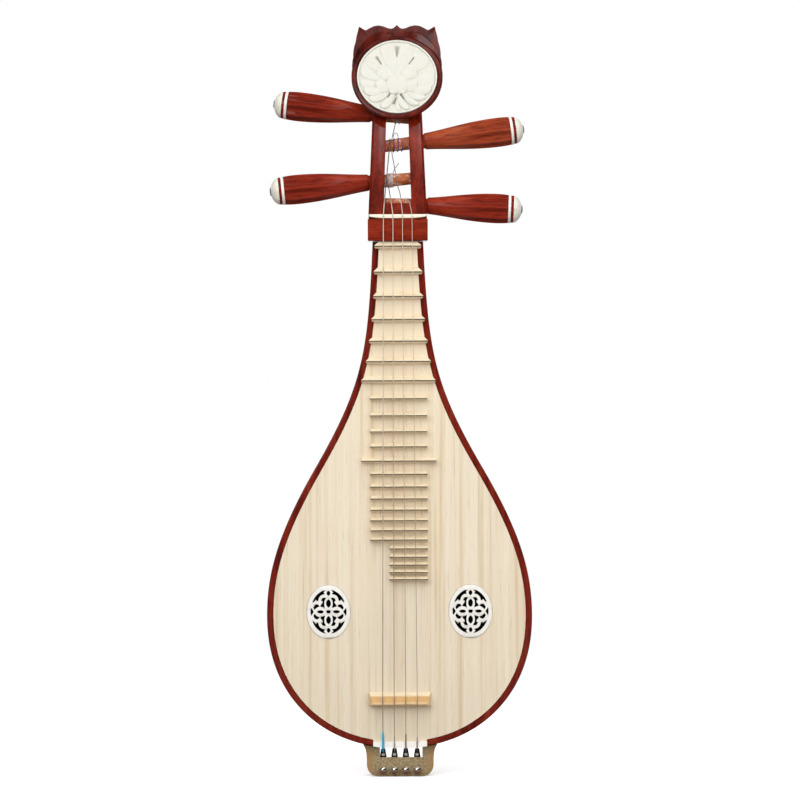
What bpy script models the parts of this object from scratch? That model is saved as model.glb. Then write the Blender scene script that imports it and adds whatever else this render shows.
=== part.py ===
"""Liuqin: a small four-string plucked lute with 24 frets, standing on its tailpiece.

+Z runs along the strings towards the head, X is across, and the soundboard
faces -Y with its front in the plane y = 0.  The origin is on the flat bottom
face of the tailpiece, on the centre line.
"""
import math

import bmesh
import bpy
import numpy as np
from mathutils import Matrix, Vector

MM = 0.001
GAP = 0.3 * MM                      # left between pieces that touch

# Body and neck, carved from one block of red hardwood
BODY_END_Z = 24.2 * MM
BODY_WIDEST_Z = 139.0 * MM
BODY_HALF_WIDTH = 114.6 * MM
LOWER_BOUT_POWER = 2.16
WAIST_Z = 265.8 * MM
WAIST_HALF_WIDTH = 0.634 * BODY_HALF_WIDTH
WAIST_SLOPE = 0.58
BOUT_HANDLE = 34.0 * MM
WAIST_LOWER_HANDLE = 59.0 * MM
WAIST_UPPER_HANDLE = 73.5 * MM
NECK_HANDLE = 95.7 * MM
NECK_SWELL = 4.3 * MM
NECK_HALF_WIDTH = 21.9 * MM
NECK_TOP_Z = 462.2 * MM
BODY_DEPTH = 52.0 * MM
NECK_DEPTH = 26.0 * MM
DEEPEST_Z = 150.0 * MM
HEEL_Z = 400.0 * MM
SIDE_WALL_DEPTH = 9.0 * MM
BACK_ROUNDNESS = 2.4
OUTLINE_POINTS = 120                # along each of the three stretches of the outline
SPINE_START_Z = 78.0 * MM
SPINE_MERGE_Z = 205.0 * MM
BOWL_STATIONS = 44                  # ribs from the end of the body to the top of the neck
RIB_STEPS = 9                       # points on each rib
SIDE_THICKNESS = 9.5 * MM
BACK_THICKNESS = 5.0 * MM
CAVITY_TOP_Z = 352.0 * MM

# Soundboard, inlaid inside a rim of the body wood
RIM_WIDTH = 5.3 * MM
BOARD_THICKNESS = 5.0 * MM
BOARD_TOP_Z = NECK_TOP_Z

# Braces glued across the underside of the soundboard, and the sound post
BRACE_HEIGHTS_Z = {"brace_upper": 236.0 * MM, "brace_middle": 186.0 * MM, "brace_lower": 96.0 * MM}
BRACE_WIDTH = 7.0 * MM
BRACE_DEPTH = 11.0 * MM
BRACE_END_DEPTH = 4.0 * MM
BRACE_END_RUN = 16.0 * MM
POST_X = 22.0 * MM
POST_Z = 76.0 * MM
POST_RADIUS = 3.5 * MM

# Oval rosettes let into the soundboard
ROSETTE_X = 0.5358 * BODY_HALF_WIDTH
ROSETTE_Z = 142.2 * MM
ROSETTE_HALF_WIDTH = 18.8 * MM
ROSETTE_HALF_HEIGHT = 23.1 * MM
ROSETTE_RIM = 3.6 * MM
ROSETTE_THICKNESS = 2.6 * MM
ROSETTE_PROUD = 0.7 * MM
ROSETTE_LEDGE = 1.6 * MM

# Strings: centre-to-centre spacing and height of the string centres over the board
STRING_COUNT = 4
SCALE_LENGTH = 420.0 * MM
BRIDGE_Z = 63.5 * MM
NUT_Z = BRIDGE_Z + SCALE_LENGTH
STRING_RADII = [0.45 * MM, 0.40 * MM, 0.35 * MM, 0.30 * MM]
NUT_SPACING = 8.24 * MM
BRIDGE_SPACING = 9.94 * MM
HEIGHT_AT_NUT = 8.5 * MM
HEIGHT_AT_BRIDGE = 11.5 * MM
BALL_RADIUS = 1.6 * MM

# Frets: equal temperament between two points set back from nut and bridge, with
# the middle frets pulled a little towards the bridge
NUT_SETBACK = 2.1 * MM
BRIDGE_SETBACK = 2.9 * MM
FRET_PULL = 1.8 * MM

# Frets: clearance under the strings, and the length of each ridge
FRET_CLEARANCE_FIRST = 1.1 * MM
FRET_CLEARANCE_LAST = 2.2 * MM
NECK_FRET_LENGTHS = [40.6 * MM, 42.2 * MM, 43.4 * MM, 46.4 * MM, 50.9 * MM, 56.2 * MM, 64.1 * MM]
NECK_FRET_UPPER_RUN = 4.4 * MM
NECK_FRET_LOWER_RUN = 1.8 * MM
NECK_FRET_FLARE = 3.8 * MM
BODY_FRET_LENGTH = 49.4 * MM
OCTAVE_FRET_NUMBER = 12
OCTAVE_FRET_LENGTH = 65.0 * MM
SHORT_FRET_FIRST = 20
SHORT_FRET_LENGTH = 33.2 * MM
LAST_FRET = 24
BODY_FRET_UPPER_RUN = 2.9 * MM
BODY_FRET_LOWER_RUN = 1.2 * MM
BODY_FRET_FLARE = 0.9 * MM
FRET_CREST = 1.0 * MM

# Bridge and saddle
BRIDGE_HALF_LENGTH = 26.9 * MM
BRIDGE_CREST_HALF_LENGTH = 24.2 * MM
BRIDGE_UPPER_RUN = 9.1 * MM
BRIDGE_SHOULDER_RUN = 6.3 * MM
BRIDGE_SHOULDER = 7.2 * MM
BRIDGE_LOWER_RUN = 2.2 * MM
BRIDGE_TOE = 1.6 * MM
BRIDGE_CREST = 1.8 * MM
SADDLE_HALF_LENGTH = 23.3 * MM
SADDLE_TOP_Z = 29.4 * MM
SADDLE_PROUD = 3.6 * MM
SADDLE_DEPTH = BOARD_THICKNESS
SADDLE_ROUNDING = 0.8 * MM

# Nut: a red block with a bone strip on its upper edge
NUT_BLOCK_HALF_WIDTH = 25.9 * MM
NUT_BLOCK_PROUD = 6.3 * MM
NUT_STRIP_HALF_LENGTH = 25.3 * MM
NUT_STRIP_HEIGHT = 3.6 * MM

# Pegbox, leaning back from the neck
LEAN = math.radians(20.0)
PEGBOX_FOOT_Z = NUT_Z + NUT_STRIP_HEIGHT / 2 + GAP
PEGBOX_FOOT_HALF_WIDTH = 25.3 * MM
PEGBOX_HEAD_HALF_WIDTH = 20.8 * MM
PEGBOX_LENGTH = 116.0 * MM
CHEEK_TAPER = math.atan((PEGBOX_FOOT_HALF_WIDTH - PEGBOX_HEAD_HALF_WIDTH) / PEGBOX_LENGTH)
PEGBOX_FOOT_DEPTH = 31.5 * MM
PEGBOX_HEAD_DEPTH = 23.0 * MM
FRONT_PLATE_HEIGHT = 10.0 * MM
FRONT_PLATE_THICKNESS = 4.5 * MM
SLOT_FLOOR = 4.0 * MM
SLOT_TOP = 107.0 * MM
SLOT_FOOT_HALF_WIDTH = 12.1 * MM
SLOT_HEAD_HALF_WIDTH = 9.2 * MM

# Pegs: side (+1 right), height up the pegbox, tilt of the handle, reach from the centre plane
PEGS = {
    "peg_1": {"side": 1, "height": 70.5 * MM, "tilt": math.radians(7.4), "reach": 111.8 * MM},
    "peg_2": {"side": -1, "height": 37.2 * MM, "tilt": math.radians(-5.7), "reach": 111.6 * MM},
    "peg_3": {"side": -1, "height": 97.1 * MM, "tilt": math.radians(6.8), "reach": 109.3 * MM},
    "peg_4": {"side": 1, "height": 13.8 * MM, "tilt": math.radians(-2.8), "reach": 108.5 * MM},
}
PEG_DEPTH = 12.0 * MM               # from the front of the cheeks to the peg axis
PEG_SHAFT_RADIUS = 5.8 * MM
PEG_END_RADIUS = 4.9 * MM
PEG_COLLAR_RADIUS = 7.2 * MM
PEG_HANDLE_RADIUS = 13.1 * MM
PEG_WIDEST_SHARE = 0.86             # of the handle's length from the collar
PEG_NARROWING = 0.6 * MM            # from the widest place to the bone ring
PEG_FLUTES = 8
PEG_FLUTE_DEPTH = 0.055
PEG_CAP_LENGTH = 9.2 * MM
PEG_CAP_RADIUS = 11.7 * MM
PEG_BAND_LENGTH = 1.6 * MM
PEG_RING_LENGTH = 3.0 * MM

# Wire wound on the pegs: first turn's place across the pegbox, and turns
WINDINGS = {
    "peg_1": {"start": -6.5 * MM, "turns": 5},
    "peg_2": {"start": -8.3 * MM, "turns": 4},
    "peg_3": {"start": -1.4 * MM, "turns": 4},
    "peg_4": {"start": 3.6 * MM, "turns": 3},
}
WINDING_PITCH = 1.4 * MM
WINDING_POINTS_PER_TURN = 24

# Head: a carved plate with a crown, a raised ring and a carved flower disc
RING_CENTRE = 124.8 * MM
RING_RADIUS = 39.8 * MM
RING_WIDTH = 4.1 * MM
RING_PROUD = 1.8 * MM
HEAD_PLATE_THICKNESS = 9.7 * MM
HEAD_BACK_SHARE = 0.90              # of the front outline: the plate's edge slopes in to the back
HEAD_BLOCK_DEPTH = 20.0 * MM
HEAD_BLOCK_TOP = 158.0 * MM
HEAD_BLOCK_TOP_DEPTH = 5.0 * MM
FLOWER_POCKET_DEPTH = 4.0 * MM
FLOWER_THICKNESS = 5.4 * MM
FLOWER_RELIEF = 2.6 * MM

# Tailpiece: a horn-coloured housing for the fine tuners
TAIL_HALF_WIDTH = 28.8 * MM
TAIL_SHOULDER_HALF_WIDTH = 32.4 * MM
TAIL_SHOULDER_Z = 29.5 * MM
TAIL_FRONT = 3.0 * MM
TAIL_DEPTH = 25.0 * MM
TAIL_CORNER = 10.0 * MM
TAIL_WALL = 3.0 * MM
TAIL_FLOOR = 2.5 * MM
WINDOW_SILL_Z = 16.4 * MM
TUNER_SPACING = 9.8 * MM
PIVOT_DEPTH = 12.0 * MM
PIVOT_Z = 13.2 * MM
PIVOT_ROD_RADIUS = 1.2 * MM
LEVER_HALF_WIDTH = 2.8 * MM
LEVER_ROOM_LEFT = 0.1 * MM            # between the outer lever and the window's side
LEVER_ROOM_RIGHT = 1.8 * MM
LEVER_TIP_HALF_WIDTH = 1.7 * MM
LEVER_THICKNESS = 3.0 * MM
LEVER_NOSE_TOP_Z = 23.8 * MM
LEVER_NOSE_FLOOR_Z = 20.2 * MM
LEVER_NOSE_FRONT = -0.5 * MM
LEVER_SLOT_HALF_WIDTH = 0.95 * MM
BALL_DEPTH = 2.9 * MM                # the ball hangs behind the front wall, so the lever can lower it
SCREW_Z = 5.7 * MM
SCREW_RADIUS = 1.5 * MM
SCREW_HEAD_RADIUS = 3.2 * MM
SCREW_HEAD_LENGTH = 5.0 * MM
SCREW_KNURLS = 14
LEVERS_HALF_SPAN = (STRING_COUNT - 1) / 2 * TUNER_SPACING + LEVER_HALF_WIDTH
WINDOW_LEFT = LEVERS_HALF_SPAN + LEVER_ROOM_LEFT
WINDOW_RIGHT = LEVERS_HALF_SPAN + LEVER_ROOM_RIGHT

# Colours (linear) and finishes of the materials
FINISHES = {
    "red_hardwood": ((0.16, 0.025, 0.012, 1.0), 0.32, 0.0),
    "paulownia": ((0.72, 0.60, 0.43, 1.0), 0.70, 0.0),
    "bamboo": ((0.62, 0.50, 0.30, 1.0), 0.50, 0.0),
    "white_bone": ((0.80, 0.79, 0.72, 1.0), 0.35, 0.0),
    "horn": ((0.22, 0.16, 0.10, 1.0), 0.35, 0.0),
    "black_steel": ((0.02, 0.02, 0.02, 1.0), 0.40, 0.8),
    "chrome": ((0.70, 0.70, 0.72, 1.0), 0.12, 1.0),
    "string_steel": ((0.38, 0.36, 0.35, 1.0), 0.30, 1.0),
}


def clear_scene():
    """Remove whatever the start-up file holds."""
    for item in list(bpy.data.objects):
        bpy.data.objects.remove(item, do_unlink=True)


def new_collection(name):
    """A collection linked to the scene."""
    group = bpy.data.collections.new(name)
    bpy.context.scene.collection.children.link(group)
    return group


def new_material(name):
    """A Principled BSDF with the finish's colour, roughness and metallic value."""
    colour, roughness, metallic = FINISHES[name]
    material = bpy.data.materials.new(name)
    material.use_nodes = True
    shader = material.node_tree.nodes["Principled BSDF"]
    shader.inputs["Base Color"].default_value = colour
    shader.inputs["Roughness"].default_value = roughness
    shader.inputs["Metallic"].default_value = metallic
    return material


clear_scene()
LIUQIN = new_collection("liuqin")
CUTTERS = new_collection("cutters")
MATERIALS = {name: new_material(name) for name in FINISHES}


def add_piece(name, mesh, finish, parent=None):
    """A visible piece of the instrument."""
    piece = bpy.data.objects.new(name, mesh)
    LIUQIN.objects.link(piece)
    mesh.materials.clear()
    mesh.materials.append(MATERIALS[finish])
    piece.parent = parent
    return piece


def add_cutter(name, mesh, parent=None):
    """A helper shape that a Boolean reads; it is never rendered."""
    cutter = bpy.data.objects.new(name, mesh)
    CUTTERS.objects.link(cutter)
    cutter.hide_render = True
    cutter.display_type = "WIRE"
    cutter.parent = parent
    return cutter


def add_boolean(piece, cutter, operation):
    """Cut, join or trim a piece with a helper shape."""
    boolean = piece.modifiers.new(operation.lower() + "_" + cutter.name, "BOOLEAN")
    boolean.operation = operation
    boolean.solver = "EXACT"
    boolean.object = cutter


def add_bevel(piece, width, segments=1, angle=math.radians(40.0)):
    """Rounded edges."""
    bevel = piece.modifiers.new("rounded_edges", "BEVEL")
    bevel.width = width
    bevel.segments = segments
    bevel.limit_method = "ANGLE"
    bevel.angle_limit = angle


def shade_round(mesh, angle=math.radians(35.0)):
    """Smooth shading with sharp edges kept."""
    mesh.shade_smooth()
    mesh.set_sharp_from_angle(angle=angle)


def finish_bmesh(cage, name):
    """Weld a bmesh, point its faces outwards and store it."""
    bmesh.ops.remove_doubles(cage, verts=cage.verts, dist=0.01 * MM)
    bmesh.ops.recalc_face_normals(cage, faces=cage.faces)
    mesh = bpy.data.meshes.new(name)
    cage.to_mesh(mesh)
    cage.free()
    shade_round(mesh)
    return mesh


def loft_mesh(name, rings):
    """A solid through closed rings with equal point counts, with flat ends."""
    cage = bmesh.new()
    loops = [[cage.verts.new(point) for point in ring] for ring in rings]
    count = len(loops[0])
    for lower, upper in zip(loops, loops[1:]):
        for i in range(count):
            j = (i + 1) % count
            cage.faces.new((lower[i], lower[j], upper[j], upper[i]))
    cage.faces.new(loops[0])
    cage.faces.new(loops[-1])
    return finish_bmesh(cage, name)


def plate_mesh(name, outlines, low, high, to_axes):
    """Flat outlines, holes included, filled as a 2D curve and given a thickness.

    The outlines are lists of (u, v); the thickness runs from low to high along
    the plate's normal; to_axes places u, v and the normal on three axes.
    """
    curve = bpy.data.curves.new(name, "CURVE")
    curve.dimensions = "2D"
    curve.fill_mode = "BOTH"
    curve.extrude = (high - low) / 2
    for outline in outlines:
        spline = curve.splines.new("POLY")
        spline.points.add(len(outline) - 1)
        for point, (u, v) in zip(spline.points, outline):
            point.co = (u, v, 0.0, 1.0)
        spline.use_cyclic_u = True
    holder = bpy.data.objects.new(name + "_outline", curve)
    bpy.context.scene.collection.objects.link(holder)
    evaluated = holder.evaluated_get(bpy.context.evaluated_depsgraph_get())
    mesh = bpy.data.meshes.new_from_object(evaluated)
    bpy.data.objects.remove(holder, do_unlink=True)
    bpy.data.curves.remove(curve)
    cage = bmesh.new()
    cage.from_mesh(mesh)
    bpy.data.meshes.remove(mesh)
    bmesh.ops.translate(cage, verts=cage.verts, vec=(0.0, 0.0, (low + high) / 2))
    bmesh.ops.transform(cage, verts=cage.verts, matrix=to_axes)
    return finish_bmesh(cage, name)


# The plate's u, v and normal laid on the instrument's axes
FRONT_VIEW = Matrix(((1, 0, 0, 0), (0, 0, 1, 0), (0, 1, 0, 0), (0, 0, 0, 1)))
SIDE_VIEW = Matrix(((0, 0, 1, 0), (1, 0, 0, 0), (0, 1, 0, 0), (0, 0, 0, 1)))


def box_mesh(name, low, high):
    """A box between two corners."""
    cage = bmesh.new()
    size = Vector(high) - Vector(low)
    centre = (Vector(high) + Vector(low)) / 2
    place = Matrix.Translation(centre) @ Matrix.Diagonal((*size, 1.0))
    bmesh.ops.create_cube(cage, size=1.0, matrix=place)
    return finish_bmesh(cage, name)


def rod_mesh(name, start, end, radius, sides):
    """A cylinder from one point to another."""
    cage = bmesh.new()
    start, end = Vector(start), Vector(end)
    along = end - start
    turn = along.to_track_quat("Z", "Y").to_matrix().to_4x4()
    place = Matrix.Translation((start + end) / 2) @ turn
    bmesh.ops.create_cone(
        cage, cap_ends=True, segments=sides, radius1=radius, radius2=radius,
        depth=along.length, matrix=place)
    return finish_bmesh(cage, name)


def tube_curve(name, points, radius):
    """A wire: a POLY curve with a round bevel of six sides and filled caps."""
    curve = bpy.data.curves.new(name, "CURVE")
    curve.dimensions = "3D"
    curve.bevel_depth = radius
    curve.bevel_resolution = 1
    curve.render_resolution_u = 0
    curve.use_fill_caps = True
    spline = curve.splines.new("POLY")
    spline.points.add(len(points) - 1)
    for point, place in zip(spline.points, points):
        point.co = (*place, 1.0)
    return curve


def mesh_from_curve(curve):
    """A closed mesh from a curve with caps, welded."""
    holder = bpy.data.objects.new(curve.name + "_route", curve)
    bpy.context.scene.collection.objects.link(holder)
    evaluated = holder.evaluated_get(bpy.context.evaluated_depsgraph_get())
    mesh = bpy.data.meshes.new_from_object(evaluated)
    bpy.data.objects.remove(holder, do_unlink=True)
    cage = bmesh.new()
    cage.from_mesh(mesh)
    return finish_bmesh(cage, curve.name)


def bezier(points, count):
    """Points along one cubic Bezier segment."""
    t = np.linspace(0.0, 1.0, count)[:, None]
    p = [np.array(point) for point in points]
    return (1 - t) ** 3 * p[0] + 3 * t * (1 - t) ** 2 * p[1] + 3 * t ** 2 * (1 - t) * p[2] + t ** 3 * p[3]


def half_outline(inset=0.0, count=OUTLINE_POINTS):
    """The right half of the body's outline as (x, z), from the end up to the neck's top.

    The lower bout is a superellipse, and two Bezier segments carry the shoulder
    into the neck.  An inset moves every point inwards along the outline's normal.
    """
    angle = np.linspace(0.0, math.pi / 2, count)
    power = 2.0 / LOWER_BOUT_POWER
    bout = np.column_stack([
        BODY_HALF_WIDTH * np.sin(angle) ** power,
        BODY_WIDEST_Z - (BODY_WIDEST_Z - BODY_END_Z) * np.cos(angle) ** power])
    lean = np.array([-WAIST_SLOPE, 1.0])
    waist = np.array([WAIST_HALF_WIDTH, WAIST_Z])
    shoulder = bezier([
        (BODY_HALF_WIDTH, BODY_WIDEST_Z),
        (BODY_HALF_WIDTH, BODY_WIDEST_Z + BOUT_HANDLE),
        waist - lean * WAIST_LOWER_HANDLE, waist], count)
    neck = bezier([
        waist, waist + lean * WAIST_UPPER_HANDLE,
        (NECK_HALF_WIDTH + NECK_SWELL, NECK_TOP_Z - NECK_HANDLE),
        (NECK_HALF_WIDTH, NECK_TOP_Z)], count)
    line = np.vstack([bout, shoulder[1:], neck[1:]])
    along = np.gradient(line, axis=0)
    along /= np.linalg.norm(along, axis=1)[:, None]
    inward = np.column_stack([-along[:, 1], along[:, 0]])
    line = line + inward * inset
    line[0] = (0.0, BODY_END_Z + inset)
    return line


def outline_half_width(z, inset=0.0):
    """Half the width of the body at height z."""
    line = half_outline(inset)
    return float(np.interp(z, line[:, 1], line[:, 0]))


def outline_stations(inset, top_z, count):
    """Well spread points along the half outline, from its lowest point to top_z."""
    line = half_outline(inset)
    line = line[line[:, 1] <= top_z]
    line = np.vstack([line, [outline_half_width(top_z, inset), top_z]])
    step = np.linalg.norm(np.diff(line, axis=0), axis=1)
    run = np.concatenate([[0.0], np.cumsum(step)])
    places = np.linspace(0.0, run[-1], count)
    return np.column_stack([np.interp(places, run, line[:, 0]), np.interp(places, run, line[:, 1])])


def back_depth(z):
    """Depth of the back behind the board plane: deep in the body, easing into the neck."""
    share = np.clip((z - DEEPEST_Z) / (HEEL_Z - DEEPEST_Z), 0.0, 1.0)
    return NECK_DEPTH + (BODY_DEPTH - NECK_DEPTH) * (0.5 + 0.5 * np.cos(math.pi * share))


def spine_height(z):
    """Where the rib from outline height z meets the spine; the low ribs fan out."""
    share = np.clip((SPINE_MERGE_Z - z) / (SPINE_MERGE_Z - BODY_END_Z), 0.0, 1.0)
    return z + (SPINE_START_Z - BODY_END_Z) * share ** 2


def bowl_mesh(name, inset, front, wall, top_z, stations, steps):
    """The right half of the pear-shaped bowl, open at the centre plane.

    Each rib leaves the rim straight back and then follows a superellipse
    quarter to the spine.  front is the y of its flat front, and wall is how
    far the bowl lies inside the outer back.
    """
    cage = bmesh.new()
    quarter = np.linspace(0.0, math.pi / 2, steps)
    out = np.cos(quarter) ** (2.0 / BACK_ROUNDNESS)
    back = np.sin(quarter) ** (2.0 / BACK_ROUNDNESS)
    out[-1] = 0.0
    rows = []
    for x, z in outline_stations(inset, top_z, stations):
        spine = spine_height(z)
        depth = back_depth(spine) - wall
        straight = min(SIDE_WALL_DEPTH, depth * 0.5)
        rib = [(0.0, front, z), (x, front, z)]
        rib += [(x * o, straight + (depth - straight) * b, spine + (z - spine) * o) for o, b in zip(out, back)]
        rows.append([cage.verts.new(point) for point in rib])
    for lower, upper in zip(rows, rows[1:]):
        for i in range(len(lower) - 1):
            cage.faces.new((lower[i], lower[i + 1], upper[i + 1], upper[i]))
    cage.faces.new(rows[-1])
    bmesh.ops.remove_doubles(cage, verts=cage.verts, dist=0.01 * MM)
    return mirrored(cage, name)


def mirrored(cage, name):
    """Mirror a half that is open at x = 0, and weld it into one solid."""
    for vertex in cage.verts:
        if abs(vertex.co.x) < 0.01 * MM:
            vertex.co.x = 0.0
    other = bmesh.ops.duplicate(cage, geom=cage.verts[:] + cage.edges[:] + cage.faces[:])["geom"]
    moved = [item for item in other if isinstance(item, bmesh.types.BMVert)]
    bmesh.ops.scale(cage, verts=moved, vec=(-1.0, 1.0, 1.0))
    bmesh.ops.remove_doubles(cage, verts=cage.verts, dist=0.01 * MM)
    front = min(vertex.co.y for vertex in cage.verts)
    flat = [face for face in cage.faces if all(v.co.y < front + 0.01 * MM for v in face.verts)]
    bmesh.ops.dissolve_faces(cage, faces=flat, use_verts=True)
    return finish_bmesh(cage, name)


def full_outline(half):
    """A closed outline from its right half."""
    left = [(-x, z) for x, z in reversed(half) if x > 0.01 * MM]
    return list(half) + left


def board_outline(inset, shelf_half_width, shelf_z):
    """The soundboard's outline: the inset body, cut straight across above the saddle."""
    rim = outline_stations(inset, BOARD_TOP_Z, 64)
    kept = [(x, z) for x, z in rim if z > BODY_WIDEST_Z or x > shelf_half_width + 2.0 * MM]
    line = half_outline(inset)
    bout = line[:OUTLINE_POINTS]
    corner_z = float(np.interp(shelf_half_width, bout[:, 0], bout[:, 1]))
    return full_outline([(shelf_half_width, shelf_z), (shelf_half_width, corner_z)] + kept)


def ellipse(cx, cz, a, b, count):
    """Points round an ellipse."""
    turn = np.linspace(0.0, 2 * math.pi, count, endpoint=False)
    return [(cx + a * math.cos(t), cz + b * math.sin(t)) for t in turn]


def string_x(index, spacing):
    """Place of a string across the instrument; string 1 is on the left."""
    return (index - (STRING_COUNT - 1) / 2) * spacing


def string_height(z):
    """Height of the string plane over the board between bridge and nut."""
    share = (z - BRIDGE_Z) / SCALE_LENGTH
    return HEIGHT_AT_BRIDGE + (HEIGHT_AT_NUT - HEIGHT_AT_BRIDGE) * share


def make_body():
    """The hollow body and solid neck in one piece, with the rebate for the board."""
    mesh = bowl_mesh("back_shell", 0.0, 0.0, 0.0, NECK_TOP_Z, BOWL_STATIONS, RIB_STEPS)
    body = add_piece("back_shell", mesh, "red_hardwood")
    cavity = bowl_mesh("cavity", SIDE_THICKNESS, -1.0 * MM, BACK_THICKNESS, CAVITY_TOP_Z, 30, 7)
    add_boolean(body, add_cutter("cavity_cutter", cavity), "DIFFERENCE")
    rebate = board_outline(RIM_WIDTH, SADDLE_HALF_LENGTH + GAP, SADDLE_TOP_Z - 1.0 * MM)
    rebate = [(x, z + (10.0 * MM if z > BOARD_TOP_Z - MM else 0.0)) for x, z in rebate]
    rebate_mesh = plate_mesh("rebate", [rebate], -1.0 * MM, BOARD_THICKNESS + GAP, FRONT_VIEW)
    add_boolean(body, add_cutter("rebate_cutter", rebate_mesh), "DIFFERENCE")
    notch = box_mesh(
        "saddle_notch",
        (-SADDLE_HALF_LENGTH - GAP, -1.0 * MM, BODY_END_Z - 5.0 * MM),
        (SADDLE_HALF_LENGTH + GAP, SADDLE_DEPTH + GAP, SADDLE_TOP_Z + GAP))
    add_boolean(body, add_cutter("saddle_cutter", notch), "DIFFERENCE")


def make_soundboard():
    """The paulownia front, with a stepped oval opening for each rosette."""
    outline = board_outline(RIM_WIDTH + GAP, SADDLE_HALF_LENGTH, SADDLE_TOP_Z + 2 * GAP)
    outline = [(x, min(z, BOARD_TOP_Z)) for x, z in outline]
    holes = [
        ellipse(side * ROSETTE_X, ROSETTE_Z, ROSETTE_HALF_WIDTH - ROSETTE_LEDGE,
                ROSETTE_HALF_HEIGHT - ROSETTE_LEDGE, 28)
        for side in (-1, 1)]
    mesh = plate_mesh("soundboard", [outline] + holes, 0.0, BOARD_THICKNESS, FRONT_VIEW)
    board = add_piece("soundboard", mesh, "paulownia")
    for side, word in ((-1, "left"), (1, "right")):
        seat = ellipse(side * ROSETTE_X, ROSETTE_Z, ROSETTE_HALF_WIDTH + GAP, ROSETTE_HALF_HEIGHT + GAP, 28)
        depth = ROSETTE_THICKNESS - ROSETTE_PROUD + GAP
        seat_mesh = plate_mesh("seat_" + word, [seat], -1.0 * MM, depth, FRONT_VIEW)
        add_boolean(board, add_cutter("seat_cutter_" + word, seat_mesh), "DIFFERENCE")


def make_braces():
    """Three bars under the board, thinned towards their ends, and the post to the back."""
    top = BOARD_THICKNESS + GAP
    for name, z in BRACE_HEIGHTS_Z.items():
        reach = outline_half_width(z - BRACE_WIDTH, SIDE_THICKNESS) if z < BODY_WIDEST_Z else (
            outline_half_width(z + BRACE_WIDTH, SIDE_THICKNESS))
        reach -= 1.0 * MM
        profile = [
            (-reach, top), (reach, top), (reach, top + BRACE_END_DEPTH),
            (reach - BRACE_END_RUN, top + BRACE_DEPTH), (BRACE_END_RUN - reach, top + BRACE_DEPTH),
            (-reach, top + BRACE_END_DEPTH)]
        axes = Matrix(((1, 0, 0, 0), (0, 1, 0, 0), (0, 0, 1, 0), (0, 0, 0, 1)))
        mesh = plate_mesh(name, [profile], z - BRACE_WIDTH / 2, z + BRACE_WIDTH / 2, axes)
        add_piece(name, mesh, "paulownia")
    share = POST_X / outline_half_width(POST_Z, SIDE_THICKNESS)
    sag = (1.0 - share ** BACK_ROUNDNESS) ** (1.0 / BACK_ROUNDNESS)
    inner = back_depth(spine_height(POST_Z)) - BACK_THICKNESS
    foot = SIDE_WALL_DEPTH + (inner - SIDE_WALL_DEPTH) * sag - POST_RADIUS * 0.5
    post = rod_mesh("sound_post", (POST_X, top, POST_Z), (POST_X, foot, POST_Z), POST_RADIUS, 16)
    add_piece("sound_post", post, "paulownia")


def lens(cx, cz, half_length, half_width, upright):
    """A pointed oval: two arcs that meet at its tips."""
    share = np.linspace(-1.0, 1.0, 7)
    bulge = half_width * (1.0 - share ** 2) ** 0.8
    along = half_length * share
    side_a = list(zip(along, bulge))
    side_b = list(zip(along[::-1], -bulge[::-1]))[1:-1]
    points = [(v, u) for u, v in side_a + side_b] if upright else side_a + side_b
    return [(cx + u, cz + v) for u, v in points]


def rosette_openings():
    """The pierced openings of the oval fretwork, about its centre.

    Their points are in millimetres of the oval's nominal size, and sx and sz
    scale them to its present width and height.

    A four-petalled flower stands in the middle, with scrolls between its
    petals and long crescents along the rim.
    """
    a = ROSETTE_HALF_WIDTH - ROSETTE_RIM
    b = ROSETTE_HALF_HEIGHT - ROSETTE_RIM - 0.6 * MM
    sx, sz = a / 15.2, b / 18.9
    openings = [lens(0.0, 0.0, 1.8 * sx, 1.25 * sz, False)]
    for side in (-1, 1):
        openings.append(lens(0.0, side * 7.2 * sz, 3.4 * sz, 1.75 * sx, True))
        openings.append(lens(side * 6.9 * sx, 0.0, 2.9 * sx, 1.1 * sz, False))
        openings.append(lens(0.0, side * 16.0 * sz, 2.0 * sz, 1.25 * sx, True))
        edge = [(side * a * math.cos(t), b * math.sin(t)) for t in np.linspace(-0.19, 0.19, 5)]
        openings.append([(side * 13.1 * sx, 0.0)] + edge)
    crescent = [(12.2, 9.3), (10.6, 10.8), (10.0, 9.4), (9.2, 9.6), (8.5, 12.3), (7.2, 14.0), (5.6, 15.0),
                (3.1, 15.3), (4.4, 16.8), (3.7, 17.7)]
    moon = [(7.7, 4.7), (9.0, 6.0), (10.3, 6.3), (11.7, 5.6), (12.8, 3.6), (12.2, 1.7), (11.3, 2.9), (10.2, 3.9)]
    scroll = [(2.3, 11.8), (3.7, 12.0), (5.2, 11.4), (6.5, 9.3), (5.1, 9.6), (4.9, 7.6), (6.5, 5.7), (6.7, 4.5),
              (4.9, 4.3), (3.0, 3.1), (4.0, 5.7), (3.9, 9.3)]
    rim_arc = [(a * math.cos(t) / sx, b * math.sin(t) / sz) for t in np.linspace(1.43, 0.40, 9)]
    for side_x in (-1, 1):
        for side_z in (-1, 1):
            for shape in (rim_arc + crescent, moon, scroll):
                openings.append([(side_x * u * sx, side_z * v * sz) for u, v in shape])
    return openings


def make_rosettes():
    """The two pierced ovals, let into the board and standing slightly proud."""
    for side, name in ((-1, "rosette_left"), (1, "rosette_right")):
        rim = ellipse(0.0, 0.0, ROSETTE_HALF_WIDTH, ROSETTE_HALF_HEIGHT, 36)
        outlines = [
            [(side * ROSETTE_X + u, ROSETTE_Z + v) for u, v in shape]
            for shape in [rim] + rosette_openings()]
        mesh = plate_mesh(name, outlines, -ROSETTE_PROUD, ROSETTE_THICKNESS - ROSETTE_PROUD, FRONT_VIEW)
        add_piece(name, mesh, "white_bone")


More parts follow.
